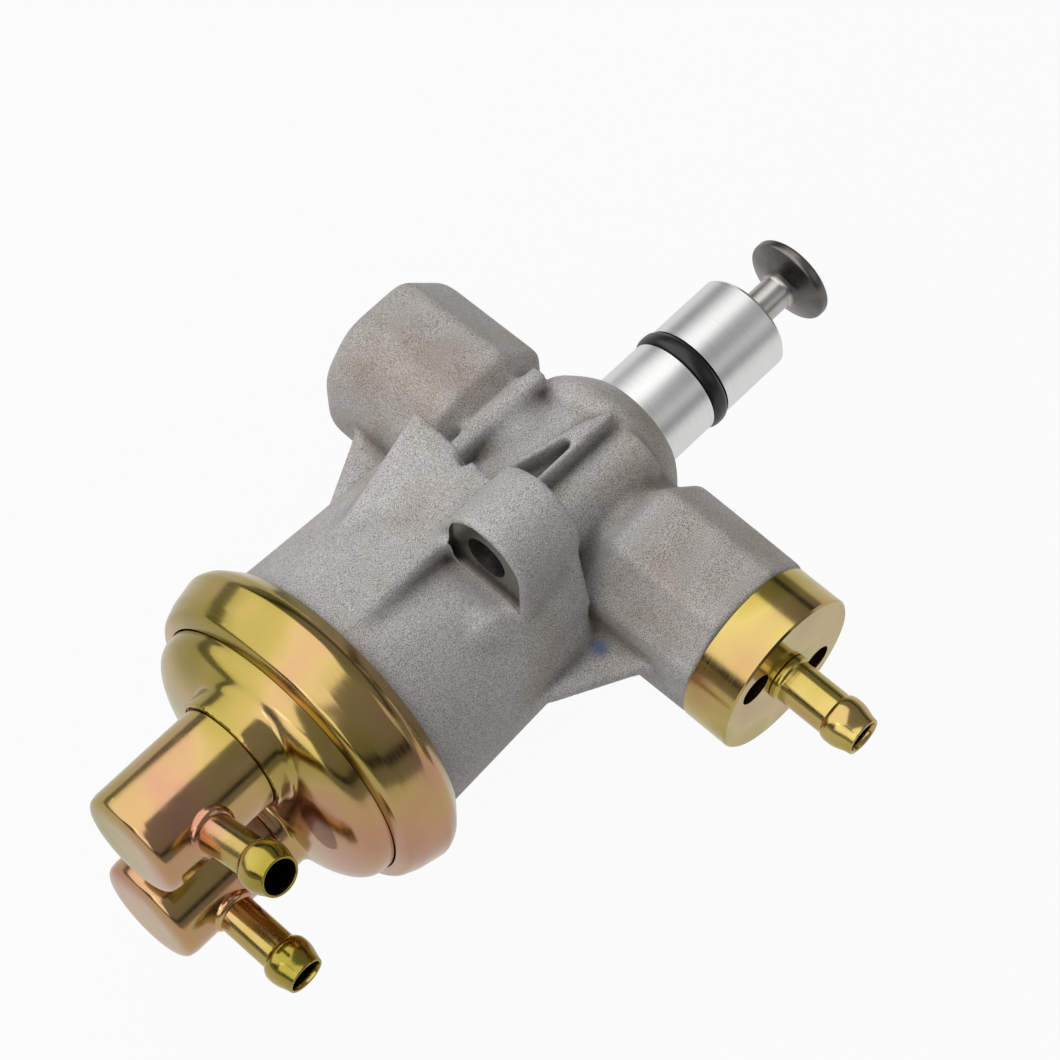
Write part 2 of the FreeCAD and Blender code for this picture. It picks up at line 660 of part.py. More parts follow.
turned("rod_bush", [
    ("sizes.cavity_floor_station", "sizes.rod_radius + sizes.running_clearance"),
    ("sizes.cavity_floor_station", "sizes.gland_radius"),
    ("sizes.cavity_floor_station + sizes.gland_bush_length", "sizes.gland_radius"),
    ("sizes.cavity_floor_station + sizes.gland_bush_length", "sizes.rod_radius + sizes.running_clearance"),
])
gland_seal_start = "sizes.cavity_floor_station + sizes.gland_bush_length"
turned("rod_seal", [
    (gland_seal_start, "sizes.rod_radius + sizes.running_clearance"),
    (gland_seal_start, "sizes.gland_radius"),
    (gland_seal_start + " + sizes.gland_seal_length", "sizes.gland_radius"),
    (gland_seal_start + " + sizes.gland_seal_length", "sizes.rod_radius + sizes.running_clearance"),
])

# Return spring: it pushes the rod's collar towards the cam, off a dished seat clamped in the barrel's rim
collar_back = "sizes.rod_collar_station - sizes.rod_collar_length"
retainer_back = collar_back + " - sizes.retainer_thickness"
turned("spring_retainer", [
    (collar_back, "sizes.rod_radius"),
    (collar_back, "sizes.retainer_radius"),
    (retainer_back + " - sizes.retainer_lip", "sizes.retainer_radius"),
    (retainer_back + " - sizes.retainer_lip", "sizes.retainer_radius - sizes.retainer_thickness"),
    (retainer_back, "sizes.retainer_radius - sizes.retainer_thickness"),
    (retainer_back, "sizes.rod_radius"),
])
spring_seat = turned("spring_seat", [
    ("sizes.seat_station", "sizes.seat_hole_radius"),
    ("sizes.seat_station", "sizes.seat_flat_radius"),
    ("sizes.rim_station", "sizes.cavity_radius"),
    ("sizes.rim_station", cover_rim_radius),
    ("sizes.rim_station - sizes.sheet_thickness", cover_rim_radius),
    ("sizes.rim_station - sizes.sheet_thickness", "sizes.cavity_radius"),
    ("sizes.seat_station - sizes.sheet_thickness", "sizes.seat_flat_radius"),
    ("sizes.seat_station - sizes.sheet_thickness", "sizes.seat_hole_radius"),
])


def coil_spring(label, start, end, radius, wire, turns):
    """Closed round-wire coil along X between two flat faces, clear of both by a hair."""
    body = new_body(label)
    sketch = new_sketch(body, label + "_wire", "XY_Plane")
    draw_circle(sketch, (start + " + " + wire + " + sizes.stroke_clearance / 2", radius), wire)
    coil = body.newObject("PartDesign::AdditiveHelix", label + "_coil")
    coil.Profile = sketch
    coil.ReferenceAxis = (sketch, ["H_Axis"])
    coil.Mode = "height-turns-angle"
    coil.setExpression("Height", "%s - (%s) - 2 * %s - sizes.stroke_clearance" % (end, start, wire))
    coil.setExpression("Turns", turns)
    return body


coil_spring("return_spring", "sizes.seat_station", retainer_back, "sizes.spring_radius", "sizes.spring_wire",
            "sizes.spring_turns")

# Diaphragm: coated cloth, clamped at its rim and between two plates, folded in between
fold_back = "sizes.rim_station - sizes.sheet_thickness"
turned("diaphragm", [
    ("sizes.diaphragm_station", "sizes.rod_thread_radius + sizes.diaphragm_hole_gap"),
    ("sizes.diaphragm_station", "sizes.plate_radius + sizes.sheet_thickness"),
    (fold_back, "sizes.fold_radius"),
    (fold_back, cover_rim_radius),
    (fold_back + " - sizes.sheet_thickness", cover_rim_radius),
    (fold_back + " - sizes.sheet_thickness", "sizes.fold_radius - sizes.sheet_thickness / 2"),
    (front_face, "sizes.plate_radius + sizes.sheet_thickness / 2"),
    (front_face, "sizes.rod_thread_radius + sizes.diaphragm_hole_gap"),
])
turned("diaphragm_back_plate", [
    (shoulder, "sizes.rod_thread_radius"),
    (shoulder, "sizes.plate_radius"),
    ("sizes.diaphragm_station", "sizes.plate_radius"),
    ("sizes.diaphragm_station", "sizes.rod_thread_radius"),
])
turned("diaphragm_front_plate", [
    (nut_face, "sizes.rod_thread_radius"),
    (nut_face, "sizes.plate_radius"),
    (front_face, "sizes.plate_radius"),
    (front_face, "sizes.rod_thread_radius"),
])
nut = new_body("diaphragm_nut")
nut_sketch = new_sketch(nut, "nut_hexagon", "YZ_Plane", nut_end)
draw_outline(nut_sketch, [
    ("sizes.nut_radius * cos(%d deg)" % (60 * i), "sizes.nut_radius * sin(%d deg)" % (60 * i))
    for i in range(6)
])
draw_circle(nut_sketch, ("0", "0"), "sizes.rod_thread_radius")
pad(nut, "nut_block", nut_sketch, "sizes.nut_length")

# Cover: one pressing with a dome and two drawn collars for the valve cans
cover = new_body("valve_cover")
cover_rim = "sizes.rim_station - 2 * sizes.sheet_thickness"
revolve(cover, "cover_dome", [
    (cover_rim, cover_rim_radius),
    (cover_rim + " - sizes.sheet_thickness", cover_rim_radius),
    (cover_rim + " - sizes.sheet_thickness", cover_seam_radius + " + sizes.cover_bend"),
    ("sizes.cover_seam_station", cover_seam_radius),
    ("sizes.cover_shoulder_station", "sizes.cover_shoulder_radius"),
    ("sizes.cover_slope_station", "sizes.cover_slope_radius"),
    ("sizes.cover_face_station", "sizes.cover_face_radius"),
    ("sizes.cover_face_station", "0"),
    ("sizes.cover_face_station + sizes.sheet_thickness", "0"),
    ("sizes.cover_face_station + sizes.sheet_thickness", "sizes.cover_face_radius"),
    ("sizes.cover_slope_station + sizes.sheet_thickness",
     "sizes.cover_slope_radius - sizes.sheet_thickness / 2"),
    ("sizes.cover_shoulder_station + sizes.sheet_thickness / 2",
     "sizes.cover_shoulder_radius - sizes.sheet_thickness"),
    ("sizes.cover_seam_station", cover_seam_radius + " - sizes.sheet_thickness"),
    (cover_rim, cover_seam_radius + " + sizes.cover_bend - sizes.sheet_thickness"),
])
for side in (1, -1):
    word = "inlet" if side > 0 else "outlet"
    centre = ("0", "sizes.can_offset" if side > 0 else "-sizes.can_offset")
    collar_sketch = new_sketch(cover, word + "_collar_circle", "YZ_Plane", "sizes.collar_station")
    draw_circle(collar_sketch, centre, "sizes.collar_radius")
    pad(cover, word + "_collar", collar_sketch, "sizes.collar_root_station - sizes.collar_station")
for side in (1, -1):
    word = "inlet" if side > 0 else "outlet"
    centre = ("0", "sizes.can_offset" if side > 0 else "-sizes.can_offset")
    mouth_sketch = new_sketch(cover, word + "_mouth_circle", "YZ_Plane", "sizes.collar_root_station")
    draw_circle(mouth_sketch, centre, "sizes.can_radius")
    pocket(cover, word + "_mouth", mouth_sketch, "sizes.can_radius", backwards=False)

# Ring rolled over the cover's rim, the diaphragm, the spring's seat and the barrel's rim
turned("clamp_ring", [
    ("sizes.cover_seam_station", cover_seam_radius + " + sizes.ring_gap"),
    ("sizes.ring_fold_station", rim_radius + " + sizes.ring_fold_rise"),
    ("sizes.ring_crest_station", rim_radius + " + sizes.ring_crest_rise"),
    ("sizes.ring_edge_station", rim_radius + " + sizes.ring_edge_rise"),
    ("sizes.ring_back_station", rim_radius + " + sizes.ring_back_rise"),
    ("sizes.ring_tail_station", "sizes.barrel_radius + sizes.ring_gap + sizes.ring_wall"),
    ("sizes.ring_tail_station", "sizes.barrel_radius + sizes.ring_gap"),
    ("sizes.barrel_foot_station", "sizes.barrel_radius + sizes.ring_gap"),
    ("sizes.rim_station + sizes.rim_thickness", rim_radius + " + sizes.ring_gap"),
    (cover_rim + " - sizes.sheet_thickness - sizes.ring_gap", rim_radius + " + sizes.ring_gap"),
    (cover_rim + " - sizes.sheet_thickness - sizes.ring_gap",
     cover_seam_radius + " + sizes.cover_bend + sizes.ring_gap"),
])


def valve_can(label, height):
    """Deep-drawn cup that holds a check valve, with a side hole for its hose tube."""
    body = new_body(label)
    revolve(body, label + "_cup", [
        ("sizes.can_mouth_station", "sizes.can_radius - sizes.can_wall"),
        ("sizes.can_mouth_station", "sizes.can_radius"),
        ("sizes.can_end_station", "sizes.can_radius"),
        ("sizes.can_end_station", "0"),
        ("sizes.can_end_station + sizes.can_wall", "0"),
        ("sizes.can_end_station + sizes.can_wall", "sizes.can_radius - sizes.can_wall"),
    ])
    round_edges(body, label + "_outer_rounding", "sizes.can_end_round",
                circle_at(sizes["can_end_station"], sizes["can_radius"]))
    round_edges(body, label + "_inner_rounding", "sizes.can_end_round - sizes.can_wall",
                circle_at(sizes["can_end_station"] + sizes["can_wall"],
                          sizes["can_radius"] - sizes["can_wall"]))
    tilt = sizes["inlet_tube_angle"] if label == "inlet_can" else 0.0
    hole = new_sketch(body, label + "_tube_hole", "XZ_Plane")
    draw_circle(hole, ("sizes.tube_station", "0"), "sizes.tube_radius")
    pocket(body, label + "_tube_opening", hole, "2 * sizes.can_radius", backwards=True)
    place(body, height=height, tilt=-tilt)
    return body


def hose_tube(label, root, reach, radius, wall):
    """Drawn steel tube along its own X axis, with a rolled hose bead near the tip."""
    tip = reach
    return turned(label, [
        (root, "%s - %s" % (radius, wall)),
        (root, radius),
        ("%s - sizes.bead_start" % tip, radius),
        ("%s - sizes.bead_start + sizes.bead_rise" % tip, "sizes.bead_radius"),
        ("%s - sizes.bead_start + sizes.bead_rise + sizes.bead_flat" % tip, "sizes.bead_radius"),
        (tip, "sizes.bead_tip_radius"),
        (tip, "%s - %s" % (radius, wall)),
    ])


valve_can("inlet_can", "sizes.can_offset")
valve_can("outlet_can", "-sizes.can_offset")
inlet_tube = hose_tube("inlet_tube", "sizes.tube_root", "sizes.tube_reach", "sizes.tube_radius",
                       "sizes.tube_wall")
place(inlet_tube, "sizes.tube_station", "0", "sizes.can_offset", -90, -sizes["inlet_tube_angle"])
outlet_tube = hose_tube("outlet_tube", "sizes.tube_root", "sizes.tube_reach", "sizes.tube_radius",
                        "sizes.tube_wall")
place(outlet_tube, "sizes.tube_station", "0", "-sizes.can_offset", -90)

# Suction plug: turned steel, screwed into its boss by two spanner holes, with the tube pressed in its middle
plug = new_body("suction_plug")
revolve(plug, "plug_turning", [
    ("-sizes.plug_thread_length", "sizes.plug_bore_radius"),
    ("-sizes.plug_thread_length", "sizes.plug_thread_radius"),
    ("-sizes.plug_seal_section", "sizes.plug_thread_radius"),
    ("-sizes.plug_seal_section", "sizes.plug_thread_radius - sizes.plug_seal_section"),
    ("0", "sizes.plug_thread_radius - sizes.plug_seal_section"),
    ("0", "sizes.plug_head_radius"),
    ("sizes.plug_head_length - sizes.plug_edge", "sizes.plug_head_radius"),
    ("sizes.plug_head_length", "sizes.plug_head_radius - sizes.plug_edge"),
    ("sizes.plug_head_length", "sizes.suction_tube_radius"),
    ("sizes.plug_head_length - sizes.plug_socket", "sizes.suction_tube_radius"),
    ("sizes.plug_head_length - sizes.plug_socket", "sizes.plug_bore_radius"),
])
spanner_sketch = new_sketch(plug, "spanner_holes", "YZ_Plane", "sizes.plug_head_length")
for side in (1, -1):
    draw_circle(spanner_sketch, (
        "%d * sizes.spanner_hole_circle * cos(sizes.spanner_hole_angle)" % side,
        "%d * sizes.spanner_hole_circle * sin(sizes.spanner_hole_angle)" % -side,
    ), "sizes.spanner_hole_radius")
pocket(plug, "spanner_hole_pair", spanner_sketch, "sizes.spanner_hole_depth")
place(plug, "sizes.boss_station", "-sizes.suction_boss_end", "0", -90)
suction_tube = turned("suction_tube", [
    ("sizes.plug_head_length - sizes.plug_socket", "sizes.suction_tube_radius - sizes.tube_wall"),
    ("sizes.plug_head_length - sizes.plug_socket", "sizes.suction_tube_radius"),
    ("sizes.plug_head_length", "sizes.suction_tube_radius"),
    ("sizes.plug_head_length", "sizes.suction_collar_radius"),
    ("sizes.plug_head_length + sizes.suction_collar_length", "sizes.suction_collar_radius"),
    ("sizes.plug_head_length + sizes.suction_collar_length", "sizes.suction_tube_radius"),
    ("sizes.plug_head_length + sizes.suction_tube_reach - sizes.bead_start", "sizes.suction_tube_radius"),
    ("sizes.plug_head_length + sizes.suction_tube_reach - sizes.bead_start + sizes.bead_rise",
     "sizes.bead_radius"),
    ("sizes.plug_head_length + sizes.suction_tube_reach - sizes.bead_start + sizes.bead_rise"
     " + sizes.bead_flat",
     "sizes.bead_radius"),
    ("sizes.plug_head_length + sizes.suction_tube_reach", "sizes.bead_tip_radius"),
    ("sizes.plug_head_length + sizes.suction_tube_reach", "sizes.suction_tube_radius - sizes.tube_wall"),
])
place(suction_tube, "sizes.boss_station", "-sizes.suction_boss_end", "0", -90)
plug_seal = turned("plug_seal", [
    ("-sizes.plug_seal_section", "sizes.plug_thread_radius - sizes.plug_seal_section"),
    ("-sizes.plug_seal_section", "sizes.plug_thread_radius"),
    ("0", "sizes.plug_thread_radius"),
    ("0", "sizes.plug_thread_radius - sizes.plug_seal_section"),
])
place(plug_seal, "sizes.boss_station", "-sizes.suction_boss_end", "0", -90)


def check_valve(name, seat_radius, along, across, height, turn):
    """Seat with a ring of holes, a spring-loaded disc and its rivet; the valve opens along its own +X."""
    pieces = []
    seat = new_body(name + "_valve_seat")
    revolve(seat, seat.Label + "_turning", [
        ("-sizes.valve_seat_thickness", "sizes.rivet_radius"),
        ("-sizes.valve_seat_thickness", seat_radius),
        ("0", seat_radius),
        ("0", "sizes.rivet_radius"),
    ])
    holes = new_sketch(seat, seat.Label + "_holes", "YZ_Plane")
    for i in range(6):
        draw_circle(holes, (
            "sizes.valve_hole_circle * cos(%d deg)" % (60 * i + 15),
            "sizes.valve_hole_circle * sin(%d deg)" % (60 * i + 15),
        ), "sizes.valve_hole_radius")
    pocket(seat, seat.Label + "_flow_holes", holes, "2 * sizes.valve_seat_thickness", both_ways=True)
    pieces.append(seat)
    pieces.append(turned(name + "_valve_disc", [
        ("0", "sizes.rivet_radius + sizes.running_clearance"),
        ("0", "sizes.valve_disc_radius"),
        ("sizes.valve_disc_thickness", "sizes.valve_disc_radius"),
        ("sizes.valve_disc_thickness", "sizes.rivet_radius + sizes.running_clearance"),
    ]))
    spring_end = "sizes.valve_disc_thickness + sizes.valve_spring_length"
    pieces.append(coil_spring(name + "_valve_spring", "sizes.valve_disc_thickness", spring_end,
                              "sizes.valve_spring_radius", "sizes.valve_spring_wire",
                              "sizes.valve_spring_turns"))
    tail_end = "-sizes.valve_seat_thickness - sizes.rivet_head_thickness"
    pieces.append(turned(name + "_valve_rivet", [
        (tail_end, "0"),
        (tail_end, "sizes.rivet_tail_radius"),
        ("-sizes.valve_seat_thickness", "sizes.rivet_tail_radius"),
        ("-sizes.valve_seat_thickness", "sizes.rivet_radius"),
        (spring_end, "sizes.rivet_radius"),
        (spring_end, "sizes.rivet_head_radius"),
        (spring_end + " + sizes.rivet_head_thickness", "sizes.rivet_head_radius"),
        (spring_end + " + sizes.rivet_head_thickness", "0"),
    ]))
    for piece in pieces:
        place(piece, along, across, height, turn)


can_inside = "sizes.can_radius - sizes.can_wall"
check_valve("inlet", can_inside, "sizes.low_valve_station", "0", "sizes.can_offset", 0)
check_valve("outlet", can_inside, "sizes.low_valve_station - sizes.valve_seat_thickness", "0",
            "-sizes.can_offset", 180)
check_valve("suction", "sizes.suction_valve_pocket", "sizes.boss_station", "sizes.suction_valve_place",
            "0", 90)
check_valve("pressure", "sizes.outlet_valve_pocket", "sizes.boss_station", "sizes.outlet_valve_place",
            "0", 90)

doc.recompute()

# Every object has to be sound before anything is written
for item in doc.Objects:
    if "Invalid" in item.State or "Error" in item.State:
        raise RuntimeError("%s failed: %s" % (item.Name, item.State))
for body in bodies:
    if body.Shape.isNull() or not body.Shape.isValid() or not body.Shape.Solids:
        raise RuntimeError("%s has no sound solid" % body.Label)

os.makedirs("parts", exist_ok=True)
for body in bodies:
    body.Shape.exportStep("parts/%s.step" % body.Label)
    print(body.Label, len(body.Shape.Solids), round(body.Shape.Volume, 1))
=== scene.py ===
import bmesh
import bpy
import json
import math
import numpy as np
from mathutils import Matrix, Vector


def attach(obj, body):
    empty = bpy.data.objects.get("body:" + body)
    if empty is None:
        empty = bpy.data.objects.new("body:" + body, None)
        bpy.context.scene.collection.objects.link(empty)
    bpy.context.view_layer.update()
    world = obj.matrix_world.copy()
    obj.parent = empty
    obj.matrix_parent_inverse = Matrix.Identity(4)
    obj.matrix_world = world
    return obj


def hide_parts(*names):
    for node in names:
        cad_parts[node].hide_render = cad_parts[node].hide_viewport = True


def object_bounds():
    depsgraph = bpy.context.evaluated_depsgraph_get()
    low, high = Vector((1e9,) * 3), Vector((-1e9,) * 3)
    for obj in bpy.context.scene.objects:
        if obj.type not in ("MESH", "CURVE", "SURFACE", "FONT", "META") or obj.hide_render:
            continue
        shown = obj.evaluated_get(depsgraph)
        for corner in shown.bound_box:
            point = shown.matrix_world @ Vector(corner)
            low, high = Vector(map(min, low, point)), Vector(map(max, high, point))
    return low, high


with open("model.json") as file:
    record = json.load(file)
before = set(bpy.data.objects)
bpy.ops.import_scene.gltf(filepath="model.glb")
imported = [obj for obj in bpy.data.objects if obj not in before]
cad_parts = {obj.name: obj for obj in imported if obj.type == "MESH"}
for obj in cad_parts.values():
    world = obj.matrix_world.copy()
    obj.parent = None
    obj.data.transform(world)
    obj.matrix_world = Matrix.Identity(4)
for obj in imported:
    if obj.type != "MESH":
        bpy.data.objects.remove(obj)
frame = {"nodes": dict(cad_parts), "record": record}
cad_box = [[float(number) for number in corner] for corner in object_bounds()]

# Pump body: an aluminium gravity casting, shot-blasted all over, then bored and spotfaced where parts
# fit. Its solid is filled, softened to cast fillets and machined again, so that only the cut edges stay
# crisp. The casting's skin is fine grey grit with warmer patches, and its inside corners are darkened as
# painted shade.
MM = 0.001
CAST_GRAIN = 0.74
CAST_ROUNDING_PASSES = 6
CAST_VALLEY_PASSES = 8
LAST_PASSES = 2
CREVICE_PASSES = 12
CREVICE_SPAN = 0.55
BARREL_FACE = -62.8
CAVITY_RADIUS = 29.0
CAVITY_STEP = -50.0
CAVITY_INNER_RADIUS = 25.0
CROSS_STATION = 21.0
EAR_CENTRES = ((-15.0, 38.0), (15.0, -38.0))
EAR_BACK = -18.6
SPOTFACE_RADIUS = 10.6
SPOTFACE_FLAT = 10.6
SPOTFACE_DEPTH = 0.9
SPOTFACE_LEAD = 0.4
BOLT_RADIUS = 5.5
RIB_OUTLINE = ((1.0, 3.2), (29.0, -3.4), (33.5, -4.4), (29.0, -1.2), (1.0, 5.6))
RIB_VALLEY = ((2.5, 3.2), (29.0, -3.4), (2.5, -3.6))
RIB_HEIGHTS = (15.0, 25.4)
VALLEY_HEIGHTS = (20.0, 30.0)
FLANGE_NOTCH = ((-3.4, 6.0), (2.0, 6.0), (2.0, 9.0), (-2.4, 9.0))
NOTCH_HEIGHTS = (31.0, 45.0)
INK_DAB = (-0.0032, -0.0353, 0.003)


def turned(profile, segments=96, start=(0, 0, 0), axis=(1, 0, 0), side=(0, 0, 1)):
    """Surface of revolution: a point (s, r) of the closed profile goes to start + s·axis + r·(cos t·side +
    sin t·(axis × side)) for each angle t of a full turn. Lengths in mm; a radius of 0 is a pole."""
    profile = np.asarray(profile, dtype=float)
    axis = np.asarray(axis, dtype=float)
    side = np.asarray(side, dtype=float)
    other = np.cross(axis, side)
    turn = np.arange(segments) * 2 * math.pi / segments
    around = np.cos(turn)[:, None] * side + np.sin(turn)[:, None] * other
    points = np.asarray(start) + profile[None, :, :1] * axis + profile[None, :, 1:] * around[:, None, :]
    count = len(profile)
    row = np.arange(segments)[:, None]
    column = np.arange(count)[None, :]
    after_row = (row + 1) % segments
    after_column = (column + 1) % count
    quads = np.stack([
        row * count + column, row * count + after_column,
        after_row * count + after_column, after_row * count + column,
    ], axis=-1)
    return points.reshape(-1, 3) * MM, quads.reshape(-1, 4)


# Solid fillings for every machined hole, so that the softening rounds cast corners only
fillings = [
    turned([(BARREL_FACE, 0), (BARREL_FACE, 30), (CAVITY_STEP + 1, 30), (CAVITY_STEP + 1, 26), (-9, 26),
            (-9, 8), (9, 8), (9, 11.5), (29, 11.5), (29, 13.3), (45, 13.3), (45, 0)]),
    turned([(-57.6, 0), (-57.6, 15), (-38, 15), (-38, 10.5), (-26, 10.5), (-26, 6), (26, 6), (26, 9.5),
            (48, 9.5), (60, 11), (60, 0)], start=(CROSS_STATION, 0, 0), axis=(0, 1, 0)),
]
for across, up in EAR_CENTRES:
    fillings.append(turned([(EAR_BACK, 0), (EAR_BACK, 11.5), (EAR_BACK + 3, 11.5), (EAR_BACK + 3, 6.5),
                            (0, 6.5), (0, 0)], start=(0, across, up)))


def extruded(near, far):
    """Closed solid between two rings of as many (x, y, z) corners, in mm, with one face over each ring."""
    count = len(near)
    step = np.arange(count)
    after = (step + 1) % count
    sides = np.stack([step, after, after + count, step + count], axis=1)
    ends = [list(step[::-1]), list(step + count)]
    return np.concatenate([near, far]) * MM, [list(face) for face in sides] + ends


def prism(outline, heights, flip):
    """Upright prism over a plan of (x, y) corners between two heights; flip of -1 gives it half a turn
    about X."""
    x, y = np.array(outline).T
    return extruded(*(np.column_stack([x, flip * y, np.full(len(x), flip * height)]) for height in heights))


def put(name, data):
    """Object with the given data, linked to the scene."""
    placed = bpy.data.objects.new(name, data)
    bpy.context.scene.collection.objects.link(placed)
    return placed


def shell(name, surfaces):
    """Object made of one or more (points, faces) surfaces, with doubles merged and faces pointing
    outwards."""
    build = bmesh.new()
    for points, faces in surfaces:
        part_mesh = bpy.data.meshes.new("part")
        part_mesh.from_pydata(np.asarray(points).tolist(), [], [list(face) for face in faces])
        build.from_mesh(part_mesh)
        bpy.data.meshes.remove(part_mesh)
    bmesh.ops.remove_doubles(build, verts=build.verts, dist=1e-7)
    bmesh.ops.dissolve_degenerate(build, edges=build.edges, dist=1e-8)
    bmesh.ops.recalc_face_normals(build, faces=build.faces)
    mesh = bpy.data.meshes.new(name)
    build.to_mesh(mesh)
    build.free()
    mesh.polygons.foreach_set("use_smooth", np.ones(len(mesh.polygons), dtype=bool))
    return put(name, mesh)


# Each ear's two ribs meet in a point, drawn fuller here than in the CAD
for flip in (1, -1):
    fillings.append(prism(RIB_OUTLINE, RIB_HEIGHTS, flip))
filling = shell("filling", fillings)
body = put("cast_body", frame["nodes"]["pump_housing"].data.copy())
build = bmesh.new()
build.from_mesh(body.data)
build.from_mesh(filling.data)
bmesh.ops.remove_doubles(build, verts=build.verts, dist=1e-6)
build.to_mesh(body.data)
build.free()
bpy.data.objects.remove(filling, do_unlink=True)


def modified(piece, kind, **settings):
    """Adds one modifier with its settings, applies it and leaves the plain mesh."""
    modifier = piece.modifiers.new(kind.lower(), kind)
    for key, value in settings.items():
        setattr(modifier, key, value)
    depsgraph = bpy.context.evaluated_depsgraph_get()
    mesh = bpy.data.meshes.new_from_object(piece.evaluated_get(depsgraph))
    piece.modifiers.clear()
    old = piece.data
    piece.data = mesh
    bpy.data.meshes.remove(old)


def cut(piece, tool):
    """Takes the tool's volume out of the piece; the cut faces keep the tool's own material."""
    modified(piece, "BOOLEAN", operation="DIFFERENCE", solver="MANIFOLD", object=tool)
    bpy.data.objects.remove(tool, do_unlink=True)


# The valley between the ribs and the flange's notch are cast, so they come before the softening
modified(body, "REMESH", mode="VOXEL", voxel_size=CAST_GRAIN * MM, adaptivity=0.0)
for flip in (1, -1):
    cut(body, shell("rib_valley", [prism(RIB_VALLEY, VALLEY_HEIGHTS, flip)]))
    cut(body, shell("flange_notch", [prism(FLANGE_NOTCH, NOTCH_HEIGHTS, flip)]))
modified(body, "REMESH", mode="VOXEL", voxel_size=CAST_GRAIN * MM, adaptivity=0.0)
body.data.materials.clear()


def rows_of(piece, what="co"):
    """Place of each point of the mesh in metres, one row of x, y and z each, or its normal."""
    values = np.empty(len(piece.data.vertices) * 3)
    piece.data.vertices.foreach_get(what, values)
    return values.reshape(-1, 3)


def move_points(piece, points):
    """Puts the mesh's points at the given rows."""
    piece.data.vertices.foreach_set("co", points.ravel())
    piece.data.update()


def neighbour_mean(piece):
    """Function from rows with one value set for each point to the mean rows of each point's neighbours."""
    ends = np.empty(len(piece.data.edges) * 2, dtype=np.int32)
    piece.data.edges.foreach_get("vertices", ends)
    first, last = ends.reshape(-1, 2).T
    size = len(piece.data.vertices)
    total = np.maximum(np.bincount(first, minlength=size) + np.bincount(last, minlength=size), 1)

    def mean(rows):
        sums = [np.bincount(first, column[last], size) + np.bincount(last, column[first], size)
                for column in rows.T]
        return np.stack(sums, axis=1) / total[:, None]

    return mean


def soften_mesh(piece, passes, share=0.5, valleys_only=False):
    """Moves each point of the mesh the given share of the way to the mean of its neighbours, passes
    times. With valleys_only a point moves only outwards along its normal, so inside corners fill and
    outside ones stay."""
    mean = neighbour_mean(piece)
    points = rows_of(piece)
    for _ in range(passes):
        move = mean(points) - points
        if valleys_only:
            move_points(piece, points)
            normals = rows_of(piece, "normal")
            move = np.maximum(np.einsum("ij,ij->i", move, normals), 0)[:, None] * normals
        points = points + share * move
    move_points(piece, points)


soften_mesh(body, CAST_ROUNDING_PASSES)
soften_mesh(body, CAST_VALLEY_PASSES, valleys_only=True)
soften_mesh(body, LAST_PASSES)


def srgb(code):
    """Linear colour of an sRGB hex code: c/12.92 up to 0.04045, else ((c + 0.055)/1.055)^2.4."""
    parts = [int(code[i:i + 2], 16) / 255 for i in (1, 3, 5)]
    return tuple(c / 12.92 if c <= 0.04045 else ((c + 0.055) / 1.055) ** 2.4 for c in parts) + (1.0,)


def add_node(tree, kind, settings=None, values=None, links=None, stops=()):
    """Adds a node to the tree: settings are its attributes, values its unlinked inputs, links the feeds of
    its inputs, and stops a colour ramp's (place, sRGB hex code) pairs."""
    node = tree.nodes.new("ShaderNode" + kind)
    for key, value in (settings or {}).items():
        setattr(node, key, value)
    for key, value in (values or {}).items():
        node.inputs[key].default_value = value
    for key, feed in (links or {}).items():
        tree.links.new(feed, node.inputs[key])
    if stops:
        marks_on_ramp = node.color_ramp.elements
        while len(marks_on_ramp) < len(stops):
            marks_on_ramp.new(0.5)
        for mark, (place, code) in zip(marks_on_ramp, stops):
            mark.position = place
            mark.color = srgb(code)
    return node


def new_material(name, **values):
    """Material with one Principled shader, whose plain inputs are given; returns it, its tree and the
    shader."""
    material = bpy.data.materials.new(name)
    material.use_nodes = True
    tree = material.node_tree
    shader = tree.nodes["Principled BSDF"]
    for key, value in values.items():
        shader.inputs[key.replace("_", " ").title().replace("Ior", "IOR")].default_value = value
    return material, tree, shader


# Shot-blasted cast aluminium: the grit leaves pits 0.19 mm apart that scatter the light, so the skin is
# matte with a dull sheen. Clean and stained patches are 18 mm and 36 mm across.
GRIT_PIT = 0.1923
SKIN_PATCH = 18.18
SKIN_STAIN = 35.71
PRODUCT = {"data_type": "RGBA", "blend_type": "MULTIPLY"}
BLEND = {"data_type": "RGBA"}
cast_skin, tree, shader = new_material("shot_blasted_cast_aluminium", metallic=0.3)
place = add_node(tree, "TexCoord").outputs["Object"]
grit = add_node(tree, "TexNoise", links={"Vector": place},
                values={"Scale": 1 / (GRIT_PIT * MM), "Detail": 1.0, "Roughness": 0.5})
patches = add_node(tree, "TexNoise", links={"Vector": place},
                   values={"Scale": 1 / (SKIN_PATCH * MM), "Detail": 4.0, "Roughness": 0.6})
stains = add_node(tree, "TexNoise", links={"Vector": place},
                  values={"Scale": 1 / (SKIN_STAIN * MM), "Detail": 3.0, "Roughness": 0.5,
                          "Distortion": 0.6})
crevice = add_node(tree, "Attribute", settings={"attribute_name": "crevice"})
grey = add_node(tree, "ValToRGB", links={"Fac": patches.outputs["Fac"]},
                stops=[(0.30, "#CBC9C7"), (0.70, "#D9D7D5")])
warm = add_node(tree, "ValToRGB", links={"Fac": stains.outputs["Fac"]},
                stops=[(0.48, "#FFFFFF"), (0.70, "#E9DED3")])
speck = add_node(tree, "ValToRGB", links={"Fac": grit.outputs["Fac"]},
                 stops=[(0.38, "#807E7B"), (0.50, "#DEDCDA"), (0.60, "#FFFFFF")])
# Painted shade: the crevice score darkens the skin's colour in inside corners
crevice_shade = add_node(tree, "ValToRGB", links={"Fac": crevice.outputs["Fac"]},
                stops=[(0.0, "#FFFFFF"), (1.0, "#6C5E52")])
skin = grey.outputs["Color"]
